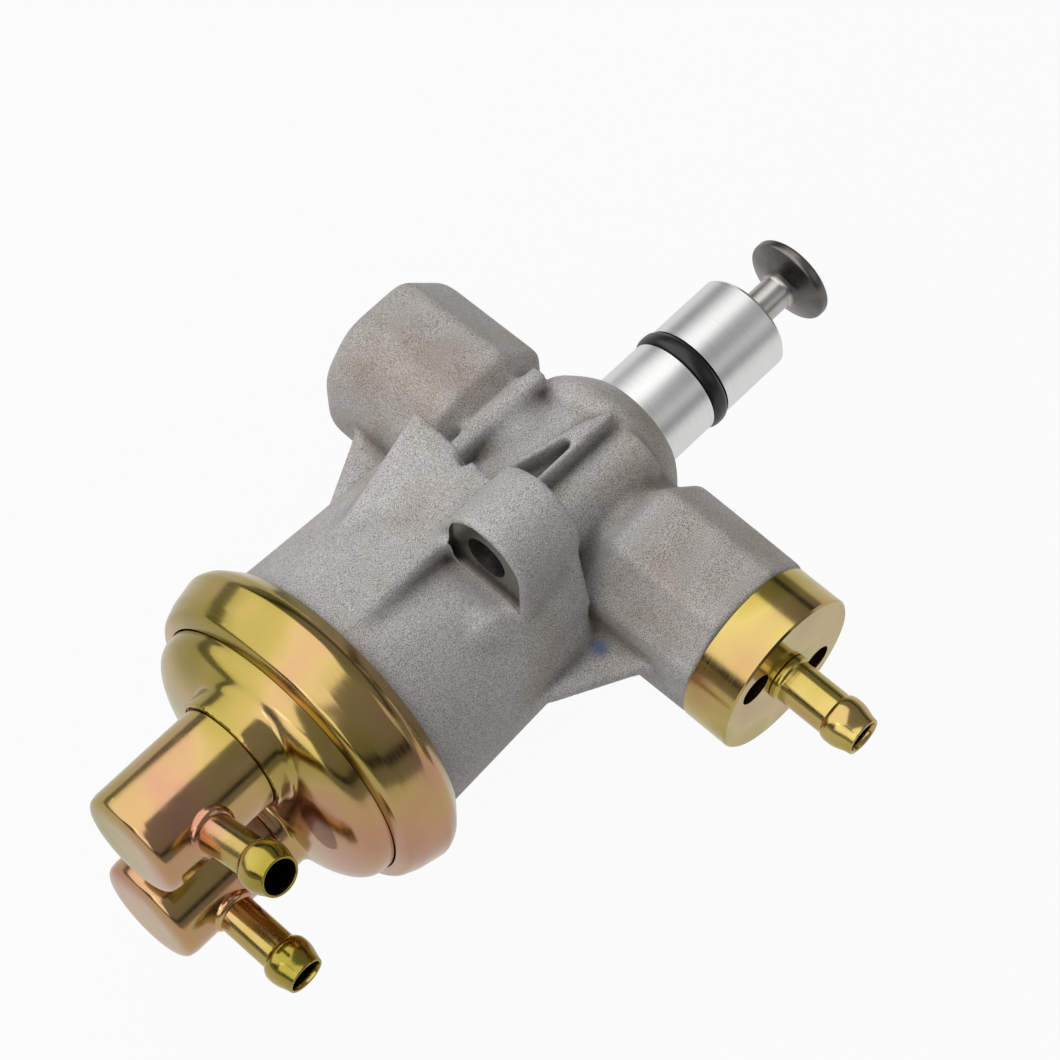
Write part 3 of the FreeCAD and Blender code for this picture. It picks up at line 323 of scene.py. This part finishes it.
for layer, strength in ((warm, 1.0), (speck, 0.9), (crevice_shade, 1.0)):
    laid = add_node(tree, "Mix", settings=PRODUCT, values={0: strength},
                    links={6: skin, 7: layer.outputs["Color"]})
    skin = laid.outputs[2]

# An inspector's dab of blue ink, 5 mm across, beside the suction boss
dab = add_node(tree, "VectorMath", settings={"operation": "DISTANCE"}, values={1: INK_DAB}, links={0: place})
ink = add_node(tree, "MapRange", links={"Value": dab.outputs["Value"]},
               values={"From Min": 0.0012, "From Max": 0.0032, "To Min": 0.75, "To Max": 0.0})
inked = add_node(tree, "Mix", settings=BLEND, values={7: srgb("#3E5F8C")},
                 links={0: ink.outputs["Result"], 6: skin})
tree.links.new(inked.outputs[2], shader.inputs["Base Color"])
rough = add_node(tree, "MapRange", links={"Value": grit.outputs["Fac"]},
                 values={"From Min": 0.3, "From Max": 0.7, "To Min": 0.50, "To Max": 0.64})
tree.links.new(rough.outputs["Result"], shader.inputs["Roughness"])
bump = add_node(tree, "Bump", values={"Strength": 0.6, "Distance": 0.0002},
                links={"Height": grit.outputs["Fac"]})
tree.links.new(bump.outputs["Normal"], shader.inputs["Normal"])

# Milled aluminium where the cutter has taken the skin off: bare grey metal that mirrors more than the
# skin does, with faint tool marks 1.1 mm apart
TOOL_MARK = 1.111
cut_face, tree, shader = new_material("milled_aluminium", metallic=1.0)
place = add_node(tree, "TexCoord").outputs["Object"]
marks = add_node(tree, "TexNoise", values={"Scale": 1 / (TOOL_MARK * MM), "Detail": 2.0},
                 links={"Vector": place})
tone = add_node(tree, "ValToRGB", links={"Fac": marks.outputs["Fac"]},
                stops=[(0.3, "#86827C"), (0.7, "#A19D97")])
tree.links.new(tone.outputs["Color"], shader.inputs["Base Color"])
rough = add_node(tree, "MapRange", values={"To Min": 0.26, "To Max": 0.42},
                 links={"Value": marks.outputs["Fac"]})
tree.links.new(rough.outputs["Result"], shader.inputs["Roughness"])

body.data.materials.append(cast_skin)
body.data.materials.append(cut_face)


def cutter(name, surfaces):
    """Closed tool whose faces carry the milled finish over to the cut."""
    tool = shell(name, surfaces)
    tool.data.materials.append(cast_skin)
    tool.data.materials.append(cut_face)
    tool.data.polygons.foreach_set("material_index", np.ones(len(tool.data.polygons), dtype=np.int32))
    return tool


cut(body, cutter("axial_bores", [turned([
    (BARREL_FACE - 2, 0), (BARREL_FACE - 2, CAVITY_RADIUS), (CAVITY_STEP, CAVITY_RADIUS),
    (CAVITY_STEP, CAVITY_INNER_RADIUS), (-10, CAVITY_INNER_RADIUS), (-10, 6), (8, 6), (8, 10), (28, 10),
    (28, 12.7), (50, 12.7), (50, 0),
], segments=128)]))
cut(body, cutter("cross_bores", [turned([
    (-60, 0), (-60, 14), (-39.5, 14), (-39.5, 9.5), (-28, 9.5), (-28, 5), (26.5, 5), (26.5, 8), (46.5, 8),
    (46.5, 8.6), (58.8, 8.6), (62, 11.8), (62, 0),
], start=(CROSS_STATION, 0, 0), axis=(0, 1, 0), segments=96)]))
for across, up in EAR_CENTRES:
    cut(body, cutter("bolt_hole", [turned([(-24, 0), (-24, BOLT_RADIUS), (2, BOLT_RADIUS), (2, 0)],
                                          start=(0, across, up))]))


def tombstone(centre, flip, near, far, radius, flat, segments=64):
    """Prism along X between stations near and far: a half circle of the radius above the centre, closed by
    straight sides down to a flat floor at the given distance below it. flip is -1 for the lower ear."""
    turn = np.linspace(0, math.pi, segments)
    across = np.concatenate([radius * np.cos(turn), [-radius, radius]])
    up = np.concatenate([radius * np.sin(turn), [-flat, -flat]])
    ring = np.stack([centre[0] + flip * across, centre[1] + flip * up], axis=1)
    return extruded(*(np.column_stack([np.full(len(ring), station), ring]) for station in (near, far)))


for flip, centre in zip((1, -1), EAR_CENTRES):
    milled = tombstone(centre, flip, EAR_BACK - SPOTFACE_LEAD, EAR_BACK + SPOTFACE_DEPTH, SPOTFACE_RADIUS,
                       SPOTFACE_FLAT)
    cut(body, cutter("spotface", [milled]))


def mark_crevices(piece, passes, span):
    """Stores 0 to 1 on each point: how far it lies below the mean of its neighbours after passes of
    spreading, against a span in mm, so inside corners score high and flats and outside edges score 0."""
    mean = neighbour_mean(piece)
    points = rows_of(piece)
    spread = points
    for _ in range(passes):
        spread = mean(spread)
    depth = np.einsum("ij,ij->i", spread - points, rows_of(piece, "normal"))
    score = np.clip(depth / (span * MM), 0, 1)
    attribute = piece.data.attributes.new("crevice", "FLOAT", "POINT")
    attribute.data.foreach_set("value", score.astype(np.float32))


# This score darkens the cast skin's colour as painted shade in the inside corners
mark_crevices(body, CREVICE_PASSES, CREVICE_SPAN)
body.data.polygons.foreach_set("use_smooth", np.ones(len(body.data.polygons), dtype=bool))
body.data.set_sharp_from_angle(angle=math.radians(40))
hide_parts("pump_housing")
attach(body, "pump_body")

# Valve cover: a steel pressing with two drawn collars that grip the valve cans, yellow zinc plated after
# drawing. The chromate film is glossy and shifts between olive gold, straw and rose over a few centimetres,
# and a painted drift from olive to rose across it stands in for the tint of studio reflections.
COVER_RADIUS = 35.0
COVER_CENTRE = -70.0
COVER_RISE = 10.3
COVER_POWER = 2.6
COVER_BACK = -65.2
COVER_SHEET = 1.2
COVER_GRAIN = 0.55
COLLAR_RIM = 0.15
COLLAR_RADIUS = 14.9
COLLAR_FACE = -83.2
COLLAR_FLARE = 1.3
POCKET_STATION = -79.2
POCKET_OFFSET = 22.4
POCKET_TURN = math.radians(162)
POCKET_TILT = math.radians(11.5)
POCKET_HALF = (4.8, 4.4, 9.6)
CAN_OFFSET = 17.6
CAN_RADIUS = 13.5


def cover_distance(points):
    """Roughly signed distance in mm. The dome is a superellipse of revolution, (|x − c|/a)^n + (r/b)^n =
    1, whose value is divided by its slope; the collars are cylinders along X. They join by the smooth
    minimum min(d, e) − h²·k/4 with h = max(k − |d − e|, 0)/k, and each collar's edge is eased by the
    rim's height."""
    x, y, z = points.T
    radius = np.hypot(y, z)
    depth = np.maximum(COVER_CENTRE - x, 0) / COVER_RISE
    share = np.maximum(radius / COVER_RADIUS, 1e-6)
    value = (depth ** COVER_POWER + share ** COVER_POWER) ** (1 / COVER_POWER)
    slope = np.hypot((depth / value) ** (COVER_POWER - 1) / COVER_RISE,
                     (share / value) ** (COVER_POWER - 1) / COVER_RADIUS)
    distance = (value - 1) / slope
    for offset in (CAN_OFFSET, -CAN_OFFSET):
        side = np.hypot(y, z - offset) - COLLAR_RADIUS
        top = COLLAR_FACE - x
        collar = np.maximum(side, top) + COLLAR_RIM * np.exp(-np.abs(side - top) / 0.4)
        overlap = np.maximum(COLLAR_FLARE - np.abs(distance - collar), 0) / COLLAR_FLARE
        distance = np.minimum(distance, collar) - overlap ** 2 * COLLAR_FLARE / 4
    return np.maximum(distance, x - COVER_BACK)


def settle(piece, distance, steps=6, gap=0.02):
    """Moves each point onto the surface where distance is 0, by Newton steps p − d·∇d/|∇d|² with central
    differences over the gap in mm."""
    points = rows_of(piece) / MM
    for _ in range(steps):
        slope = np.stack([
            (distance(points + gap * unit) - distance(points - gap * unit)) / (2 * gap) for unit in np.eye(3)
        ], axis=1)
        size = np.maximum(np.einsum("ij,ij->i", slope, slope), 0.05)
        move = (distance(points) / size)[:, None] * slope
        points = points - np.clip(move, -0.6, 0.6)
    move_points(piece, points * MM)


angle = np.linspace(0, math.pi / 2, 40)
dome = np.stack([COVER_CENTRE - COVER_RISE * np.cos(angle) ** (2 / COVER_POWER),
                 COVER_RADIUS * np.sin(angle) ** (2 / COVER_POWER)], axis=1)
dome[0, 1] = 0
dome = np.concatenate([dome, [[COVER_BACK, COVER_RADIUS], [COVER_BACK, 0]]])
cover = shell("valve_cover_pressing", [turned(dome)] + [
    turned([(COLLAR_FACE, 0), (COLLAR_FACE, COLLAR_RADIUS), (-70, COLLAR_RADIUS), (-70, 0)],
           start=(0, 0, offset))
    for offset in (CAN_OFFSET, -CAN_OFFSET)
])
modified(cover, "REMESH", mode="VOXEL", voxel_size=COVER_GRAIN * MM, adaptivity=0.0)
soften_mesh(cover, 3)
settle(cover, cover_distance)
inner = dome.copy()
inner[:40, 0] += COVER_SHEET
inner[:41, 1] = np.maximum(inner[:41, 1] - COVER_SHEET, 0)
inner[40:, 0] = COVER_BACK + 2


def oval(name, swell):
    """Ellipsoid at the formed pocket: the unit sphere times three half axes plus the swell, which lie
    along the dome's normal, down its slope and round it. Its middle is at the station and offset, turned
    from +Y to +Z."""
    angle = np.linspace(0, math.pi, 24)
    ball = shell(name, [turned(np.stack([-np.cos(angle), np.sin(angle)], axis=1), segments=48)])
    outwards = np.array([0, math.cos(POCKET_TURN), math.sin(POCKET_TURN)])
    round_it = np.array([0, -math.sin(POCKET_TURN), math.cos(POCKET_TURN)])
    front = np.array([-1.0, 0, 0])
    axes = np.stack([
        math.cos(POCKET_TILT) * front + math.sin(POCKET_TILT) * outwards,
        math.cos(POCKET_TILT) * outwards - math.sin(POCKET_TILT) * front, round_it,
    ])
    middle = POCKET_OFFSET * outwards - POCKET_STATION * front
    move_points(ball, (rows_of(ball) * (np.array(POCKET_HALF) + swell)) @ axes + middle * MM)
    return ball


inside = shell("cover_inside", [turned(inner)])
cut(inside, oval("pocket_wall", COVER_SHEET))
cut(cover, inside)
cut(cover, oval("pocket", 0.0))
for offset in (CAN_OFFSET, -CAN_OFFSET):
    cut(cover, shell("can_socket", [turned([
        (-90, 0), (-90, CAN_RADIUS + 0.5), (COLLAR_FACE + 0.5, CAN_RADIUS + 0.5),
        (COLLAR_FACE + 1.0, CAN_RADIUS), (-74, CAN_RADIUS), (-74, 0),
    ], start=(0, 0, offset))]))
flange = shell("cover_flange", [turned([(-66.4, 34.2), (-66.4, 38.1), (-65.2, 38.1), (-65.2, 34.2)])])


def join(piece, other):
    """Adds the other piece's mesh to the first one and removes it."""
    gather = bmesh.new()
    gather.from_mesh(piece.data)
    gather.from_mesh(other.data)
    bpy.data.objects.remove(other, do_unlink=True)
    gather.to_mesh(piece.data)
    gather.free()
    piece.data.polygons.foreach_set("use_smooth", np.ones(len(piece.data.polygons), dtype=bool))


join(cover, flange)
FILM_PATCH = 18.18


def plated(name, stops, lines, reflection_drift=(0.0, -3.0, -3.0)):
    """Yellow zinc chromate on bright steel: a clear glossy film over metal. Its colours go from olive to
    rose along the ramp stops: the value is a noise 18 mm across, from 0.15 to 0.92, for the film's own
    tint, plus the place times reflection_drift, a painted drift across the piece that stands in for the
    tint of studio reflections. lines is the spacing in mm of the forming lines along X, Y and Z, which
    show as fine streaks in the gloss."""
    material, tree, shader = new_material(name, metallic=1.0)
    place = add_node(tree, "TexCoord").outputs["Object"]
    # Painted reflection: the place along this direction shifts the tint from olive to rose across the piece
    low = add_node(tree, "VectorMath", settings={"operation": "DOT_PRODUCT"}, values={1: reflection_drift},
                   links={0: place})
    tint = add_node(tree, "TexNoise", links={"Vector": place},
                    values={"Scale": 1 / (FILM_PATCH * MM), "Detail": 1.5, "Roughness": 0.45})
    patch = add_node(tree, "MapRange", values={"To Min": 0.15, "To Max": 0.92},
                     links={"Value": tint.outputs["Fac"]})
    film_and_reflection = add_node(tree, "Math", settings={"operation": "ADD"},
                     links={0: low.outputs["Value"], 1: patch.outputs["Result"]})
    film = add_node(tree, "ValToRGB", links={"Fac": film_and_reflection.outputs[0]}, stops=stops)
    tree.links.new(film.outputs["Color"], shader.inputs["Base Color"])
    along = add_node(tree, "Mapping", values={"Scale": tuple(1 / (line * MM) for line in lines)},
                     links={"Vector": place})
    drawn = add_node(tree, "TexNoise", values={"Scale": 1.0, "Detail": 2.0},
                     links={"Vector": along.outputs[0]})
    rough = add_node(tree, "MapRange", links={"Value": drawn.outputs["Fac"]},
                     values={"From Min": 0.3, "From Max": 0.7, "To Min": 0.13, "To Max": 0.20})
    tree.links.new(rough.outputs["Result"], shader.inputs["Roughness"])
    bump = add_node(tree, "Bump", values={"Strength": 0.10, "Distance": 0.00004},
                    links={"Height": drawn.outputs["Fac"]})
    tree.links.new(bump.outputs["Normal"], shader.inputs["Normal"])
    return material


OLIVE_BANDS = [
    (0.20, "#93863C"), (0.38, "#AA9650"), (0.50, "#BA9D67"), (0.62, "#BD9171"), (0.74, "#B5886B"),
    (0.90, "#A3914E"),
]
pressed_zinc = plated("yellow_zinc_pressing", OLIVE_BANDS, (3.333, 3.333, 3.333))


def finish_zinc(piece, node, zinc, smooth_angle=35):
    """Gives the piece its plated finish and lets it stand for its CAD node on the pump's body."""
    piece.data.materials.clear()
    piece.data.materials.append(zinc)
    piece.data.set_sharp_from_angle(angle=math.radians(smooth_angle))
    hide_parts(node)
    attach(piece, "pump_body")


finish_zinc(cover, "valve_cover", pressed_zinc)

# Clamp ring: a steel band spun over the stack of rims, so its front lip lies on the cover and its tail is
# tucked in behind the casting's rim. The spinning tool leaves a crease and faint lines round the band,
# and it is yellow zinc plated.


def softened(corners, steps=6):
    """Profile whose corners (s, r, reach) are each replaced by the curve (1−u)²·A + 2u(1−u)·P + u²·B,
    where A and B lie on the two sides at the given reach from the corner P. A reach of 0 keeps the
    corner."""
    points = []
    count = len(corners)
    share = np.linspace(0, 1, steps)[:, None]
    for index, (station, radius, reach) in enumerate(corners):
        here = np.array([station, radius], dtype=float)
        before = np.array(corners[index - 1][:2], dtype=float) - here
        after = np.array(corners[(index + 1) % count][:2], dtype=float) - here
        if reach == 0:
            points.append(here[None, :])
            continue
        first = here + before / np.linalg.norm(before) * min(reach, 0.5 * np.linalg.norm(before))
        last = here + after / np.linalg.norm(after) * min(reach, 0.5 * np.linalg.norm(after))
        points.append((1 - share) ** 2 * first + 2 * share * (1 - share) * here + share ** 2 * last)
    return np.concatenate(points)


ring_profile = softened([
    (-69.4, 35.15, 0.4), (-68.3, 38.8, 0.9), (-64.5, 40.35, 0.4), (-58.2, 41.7, 0.8), (-55.6, 40.8, 1.2),
    (-51.8, 36.9, 1.0), (-51.9, 35.3, 0.3), (-53.0, 35.3, 0.3), (-57.0, 38.55, 0.6), (-66.65, 38.55, 0.5),
    (-66.65, 37.0, 0.4),
], steps=7)
ring = shell("clamp_ring_spun", [turned(ring_profile, segments=256)])
spun_zinc = plated("yellow_zinc_spun", OLIVE_BANDS, (0.3846, 25.0, 25.0))
finish_zinc(ring, "clamp_ring", spun_zinc, 50)

# Valve cans: deep-drawn steel cups with rounded bottoms, pressed into the collars and plated like the
# cover. Each hose tube is drawn steel with a rolled bead, brazed into its can, and its colour runs from
# rose at the can to olive at the bead, a painted drift that stands in for the tint of studio reflections.
CAN_END = -114.0
CAN_MOUTH = -78.0
TUBE_STATION = -99.6
TUBE_REACH = 36.3
drawn_zinc = plated("yellow_zinc_drawn", [
    (0.14, "#968839"), (0.26, "#AE9B50"), (0.34, "#C1A56E"), (0.44, "#C29375"), (0.62, "#B07C62"),
], (16.67, 0.3846, 1.111), reflection_drift=(0.0, 10.0, 0.0))
for name, offset, tilt in (("inlet", CAN_OFFSET, 22.5), ("outlet", -CAN_OFFSET, 0.0)):
    can = shell(name + "_can_cup", [turned(softened([
        (CAN_MOUTH, CAN_RADIUS - 1, 0.2), (CAN_MOUTH, CAN_RADIUS, 0.2), (CAN_END + 3.4, CAN_RADIUS, 0.3),
        (CAN_END + 0.9, 13.1, 2.2), (CAN_END, 10.0, 2.6), (CAN_END, 0, 0), (CAN_END + 1.0, 0, 0),
        (CAN_END + 1.0, 9.7, 1.6), (CAN_END + 2.6, CAN_RADIUS - 1, 1.8),
    ], steps=10), segments=144, start=(0, 0, offset))])
    finish_zinc(can, name + "_can", pressed_zinc, 45)
    out = (0, -math.cos(math.radians(tilt)), math.sin(math.radians(tilt)))
    tube_start = (TUBE_STATION, 0, offset)
    tube = shell(name + "_hose_tube", [turned(softened([
        (10.0, 4.0, 0), (10.0, 4.76, 0), (TUBE_REACH - 8.4, 4.76, 0.3), (TUBE_REACH - 8.0, 5.35, 0.3),
        (TUBE_REACH - 6.8, 6.05, 0.8), (TUBE_REACH - 4.3, 6.1, 1.2), (TUBE_REACH - 1.2, 5.1, 1.0),
        (TUBE_REACH, 4.85, 0.3), (TUBE_REACH, 4.25, 0.2), (TUBE_REACH - 1.2, 4.0, 0.4),
    ]), segments=96, start=tube_start, axis=out, side=(1, 0, 0))])
    braze = shell(name + "_braze", [turned(softened([
        (11.6, 4.7, 0), (11.6, 6.2, 0.3), (13.2, 6.0, 0.5), (13.9, 5.5, 0.5), (14.3, 4.7, 0.2),
    ]), segments=96, start=tube_start, axis=out, side=(1, 0, 0))])
    join(tube, braze)
    finish_zinc(tube, name + "_tube", drawn_zinc, 45)

# Suction plug and its tube: turned from steel bar and plated an even olive, with two blind holes for a pin
# spanner. The beaded tube is pressed into the middle.
PLUG_FACE = 69.8
turned_zinc = plated("yellow_zinc_turned", [
    (0.36, "#958632"), (0.48, "#AE9B48"), (0.60, "#BFAA64"), (0.78, "#B89468"),
], (16.67, 0.3125, 16.67), reflection_drift=(3.0, 0.0, 0.0))
plug = frame["nodes"]["suction_plug"]
plug.data.materials.clear()
plug.data.materials.append(turned_zinc)
suction_tube = shell("suction_hose_tube", [turned(softened([
    (61.8, 3.6, 0), (61.8, 5.2, 0), (PLUG_FACE + 0.1, 5.2, 0.1), (PLUG_FACE + 0.1, 5.9, 0.2),
    (PLUG_FACE + 1.6, 5.8, 0.3), (PLUG_FACE + 2.0, 5.35, 0.3), (84.4, 5.35, 0.3), (84.8, 5.75, 0.3),
    (86.0, 6.05, 0.7), (88.4, 6.0, 1.2), (91.4, 5.0, 0.8), (92.8, 4.8, 0.3), (92.8, 4.1, 0.3),
    (91.8, 3.7, 0.3),
]), segments=96, start=(CROSS_STATION, 0, 0), axis=(0, -1, 0))])
finish_zinc(suction_tube, "suction_tube", turned_zinc, 45)

# Tappet guide: turned from aluminium bar and left bright, so it is almost white with fine tool lines round
# it. It is pressed into the body's neck.
GUIDE_LINES = (0.1923, 16.67, 16.67)
bright, tree, shader = new_material("turned_aluminium", metallic=1.0, anisotropic=0.3)
place = add_node(tree, "TexCoord").outputs["Object"]
along = add_node(tree, "Mapping", values={"Scale": tuple(1 / (line * MM) for line in GUIDE_LINES)},
                 links={"Vector": place})
lines = add_node(tree, "TexNoise", values={"Scale": 1.0, "Detail": 2.0}, links={"Vector": along.outputs[0]})
tone = add_node(tree, "ValToRGB", links={"Fac": lines.outputs["Fac"]},
                stops=[(0.3, "#E6E6E5"), (0.7, "#F1F1F0")])
tree.links.new(tone.outputs["Color"], shader.inputs["Base Color"])
rough = add_node(tree, "MapRange", values={"To Min": 0.33, "To Max": 0.41},
                 links={"Value": lines.outputs["Fac"]})
tree.links.new(rough.outputs["Result"], shader.inputs["Roughness"])
bump = add_node(tree, "Bump", values={"Strength": 0.06, "Distance": 0.00003},
                links={"Height": lines.outputs["Fac"]})
tree.links.new(bump.outputs["Normal"], shader.inputs["Normal"])

# Tappet: a ground steel stem with a mushroom head that the cam pushes. The stem is bright from sliding, and
# the hardened head is sooty grey with cloudy oxide 6 mm across.
OXIDE_CLOUD = 6.25
steel, tree, shader = new_material("ground_dark_steel", metallic=1.0)
place = add_node(tree, "TexCoord").outputs["Object"]
oxide = add_node(tree, "TexNoise", values={"Scale": 1 / (OXIDE_CLOUD * MM), "Detail": 4.0},
                 links={"Vector": place})
apart = add_node(tree, "SeparateXYZ", links={"Vector": place})
head = add_node(tree, "MapRange", values={"From Min": 0.0972, "From Max": 0.0980},
                links={"Value": apart.outputs["X"]})
ground = add_node(tree, "ValToRGB", links={"Fac": oxide.outputs["Fac"]},
                  stops=[(0.3, "#B5B1AC"), (0.7, "#CBC8C4")])
sooty = add_node(tree, "ValToRGB", links={"Fac": oxide.outputs["Fac"]},
                 stops=[(0.3, "#625E5A"), (0.7, "#827E7A")])
worn = add_node(tree, "Mix", settings=BLEND,
                links={0: head.outputs["Result"], 6: ground.outputs["Color"], 7: sooty.outputs["Color"]})
tree.links.new(worn.outputs[2], shader.inputs["Base Color"])
rough = add_node(tree, "MapRange", values={"To Min": 0.22, "To Max": 0.40},
                 links={"Value": oxide.outputs["Fac"]})
tree.links.new(rough.outputs["Result"], shader.inputs["Roughness"])
tappet = shell("tappet_mushroom", [turned(softened([
    (50, 0, 0), (50, 4.3, 0), (97.4, 4.3, 0.6), (98.6, 5.6, 0.5), (100.7, 11.0, 0.5), (101.3, 11.2, 0.3),
    (103.0, 11.2, 0.5), (103.7, 10.2, 0.6), (104.1, 6.0, 2.0), (104.1, 0, 0),
], steps=8), segments=128)])
tappet.data.materials.append(steel)
tappet.data.set_sharp_from_angle(angle=math.radians(45))
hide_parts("tappet")
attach(tappet, "plunger")

# Guide ring: nitrile rubber of round section pressed flat by its groove, so it shows as a band proud of the
# guide. It is moulded and oiled, which gives it a soft dark sheen.
OIL_FILM = 3.333
rubber, tree, shader = new_material("oiled_nitrile_rubber", roughness=0.32, ior=1.5)
place = add_node(tree, "TexCoord").outputs["Object"]
film = add_node(tree, "TexNoise", values={"Scale": 1 / (OIL_FILM * MM), "Detail": 2.0},
                links={"Vector": place})
tone = add_node(tree, "ValToRGB", links={"Fac": film.outputs["Fac"]},
                stops=[(0.3, "#0B0B0B"), (0.7, "#171717")])
tree.links.new(tone.outputs["Color"], shader.inputs["Base Color"])
guide_ring = shell("guide_ring_pressed", [turned(softened([
    (60.75, 9.8, 0.4), (60.75, 12.6, 1.0), (61.9, 13.45, 0.9), (64.3, 13.45, 0.9), (65.45, 12.6, 1.0),
    (65.45, 9.8, 0.4),
]), segments=144)])
guide_ring.data.materials.append(rubber)
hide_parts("guide_ring")
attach(guide_ring, "pump_body")

# Inner pieces, none in view at rest: sintered bushes, turned steel plates and rods, spring wire, moulded
# seals and the rubber coated cloth of the diaphragm. Each is one tone with clouds 3 mm across, matte for
# cloth, satin for metal.
CLOUD = 2.857
plain = {
    "bronze": ("sintered_bronze", "#8C6A43", 1.0, 0.45),
    "bare_steel": ("turned_steel", "#A5A5A3", 1.0, 0.35),
    "spring_steel": ("drawn_spring_steel", "#7D7D7C", 1.0, 0.35),
    "coated_cloth": ("rubber_coated_cloth", "#2A2623", 0.0, 0.75),
    "seal_plastic": ("filled_nylon", "#CFC6AE", 0.0, 0.5),
}
finishes = {"turned_aluminium": bright, "black_rubber": rubber}
for slot_name, (name, colour, metallic, roughness) in plain.items():
    material, tree, shader = new_material(name, metallic=metallic, roughness=roughness)
    place = add_node(tree, "TexCoord").outputs["Object"]
    cloud = add_node(tree, "TexNoise", values={"Scale": 1 / (CLOUD * MM), "Detail": 3.0},
                     links={"Vector": place})
    dark = add_node(tree, "MapRange", values={"To Min": 0.75, "To Max": 1.15},
                    links={"Value": cloud.outputs["Fac"]})
    tone = add_node(tree, "Mix", settings=PRODUCT, values={0: 1.0, 6: srgb(colour)},
                    links={7: dark.outputs["Result"]})
    tree.links.new(tone.outputs[2], shader.inputs["Base Color"])
    finishes[slot_name] = material
slot_of = {part["node"]: part["material_slot"] for part in frame["record"]["subparts"]}
for node_name, node in frame["nodes"].items():
    finish = finishes.get(slot_of[node_name])
    if finish is not None:
        node.data.materials.clear()
        node.data.materials.append(finish)

# Camera: long lens from above the valve cans, as the photograph was taken. The focal length is 3500
# pixels of the photograph's 1060 pixel frame, and the three axes are the camera's own.
FOCAL_PIXELS = 3500
FRAME_PIXELS = 1060
RIGHT = np.array([0.686, -0.727, -0.016])
UP = np.array([0.637, 0.590, 0.496])
BACK = np.array([-0.352, -0.351, 0.868])
CAMERA_PLACE = (-0.2745, -0.2846, 0.7002)
camera_data = bpy.data.cameras.new("camera")
camera_data.sensor_fit = "HORIZONTAL"
camera_data.sensor_width = 36.0
camera_data.lens = camera_data.sensor_width * FOCAL_PIXELS / FRAME_PIXELS
camera_data.clip_end = 20.0
camera = put("camera", camera_data)
placement = np.eye(4)
placement[:3, :3] = np.stack([RIGHT, UP, BACK], axis=1)
placement[:3, 3] = CAMERA_PLACE
camera.matrix_world = Matrix(placement.tolist())
bpy.context.scene.camera = camera

# Plain pale floor of white paper, just under the lower ear. The camera sees it almost white, and bright
# metal mirrors part of that.
FLOOR_SEEN = 0.95
FLOOR_MIRRORED = 0.7
FLOOR_GREY = (0.35, 0.35, 0.35, 1)
floor_mesh = bpy.data.meshes.new("floor")
reach = 3.0
level = cad_box[0][2] - 0.0002
floor_mesh.from_pydata([(-reach, -reach, level), (reach, -reach, level), (reach, reach, level),
                        (-reach, reach, level)], [], [(0, 1, 2, 3)])
floor = put("floor", floor_mesh)
floor_paint, tree, shader = new_material("white_paper_floor", base_color=FLOOR_GREY, roughness=0.9)
glow = add_node(tree, "Emission", values={"Color": (1, 1, 1, 1), "Strength": 1.0})
seen = add_node(tree, "LightPath")
mirrored = add_node(tree, "Math", settings={"operation": "MULTIPLY"}, values={1: FLOOR_MIRRORED},
                    links={0: seen.outputs["Is Glossy Ray"]})
share = add_node(tree, "Math", settings={"operation": "MULTIPLY_ADD"}, values={1: FLOOR_SEEN},
                 links={0: seen.outputs["Is Camera Ray"], 2: mirrored.outputs[0]})
blend = add_node(tree, "MixShader", links={0: share.outputs[0], 1: shader.outputs[0], 2: glow.outputs[0]})
tree.links.new(blend.outputs[0], tree.nodes["Material Output"].inputs["Surface"])
floor_mesh.materials.append(floor_paint)

# Studio light: one large soft lamp above, a small fill on each side and a pale room, whose dark skirting
# band gives the bright metal its dark streaks
ROOM_STRENGTH = 0.45
world = bpy.data.worlds.new("pale_room")
bpy.context.scene.world = world
world.use_nodes = True
tree = world.node_tree
background = tree.nodes["Background"]
up = add_node(tree, "SeparateXYZ", links={"Vector": add_node(tree, "TexCoord").outputs["Generated"]})
sky = add_node(tree, "ValToRGB", links={"Fac": up.outputs["Z"]}, stops=[
    (0.0, "#C4C4C4"), (0.20, "#C8C8C8"), (0.26, "#3A3A3A"), (0.34, "#3A3A3A"), (0.41, "#C8C8C8"),
    (1.0, "#DCDCDC"),
])
tree.links.new(sky.outputs["Color"], background.inputs["Color"])
background.inputs["Strength"].default_value = ROOM_STRENGTH
white = add_node(tree, "Background", values={"Color": (1, 1, 1, 1), "Strength": 1.0})
seen = add_node(tree, "LightPath")
blend = add_node(tree, "MixShader", links={0: seen.outputs["Is Camera Ray"], 1: background.outputs[0],
                                           2: white.outputs[0]})
tree.links.new(blend.outputs[0], tree.nodes["World Output"].inputs["Surface"])


def soft_lamp(name, place, size, power):
    """Square area lamp of the given side, aimed at the middle of the pump."""
    data = bpy.data.lights.new(name, "AREA")
    data.shape = "SQUARE"
    data.size = size
    data.energy = power
    lamp = put(name, data)
    back = np.array(place) / np.linalg.norm(place)
    right = np.cross((0, 0, 1.0), back)
    right = right / np.linalg.norm(right)
    frame_of = np.eye(4)
    frame_of[:3, :3] = np.stack([right, np.cross(back, right), back], axis=1)
    frame_of[:3, 3] = place
    lamp.matrix_world = Matrix(frame_of.tolist())


soft_lamp("key_lamp", (-0.3, 0.6, 1.05), 2.3, 22.0)
soft_lamp("fill_lamp", (-1.1, -0.3, 0.7), 0.8, 3.0)
soft_lamp("side_lamp", (0.7, -0.9, 0.6), 0.6, 0.6)

bpy.context.scene.view_settings.view_transform = "Standard"
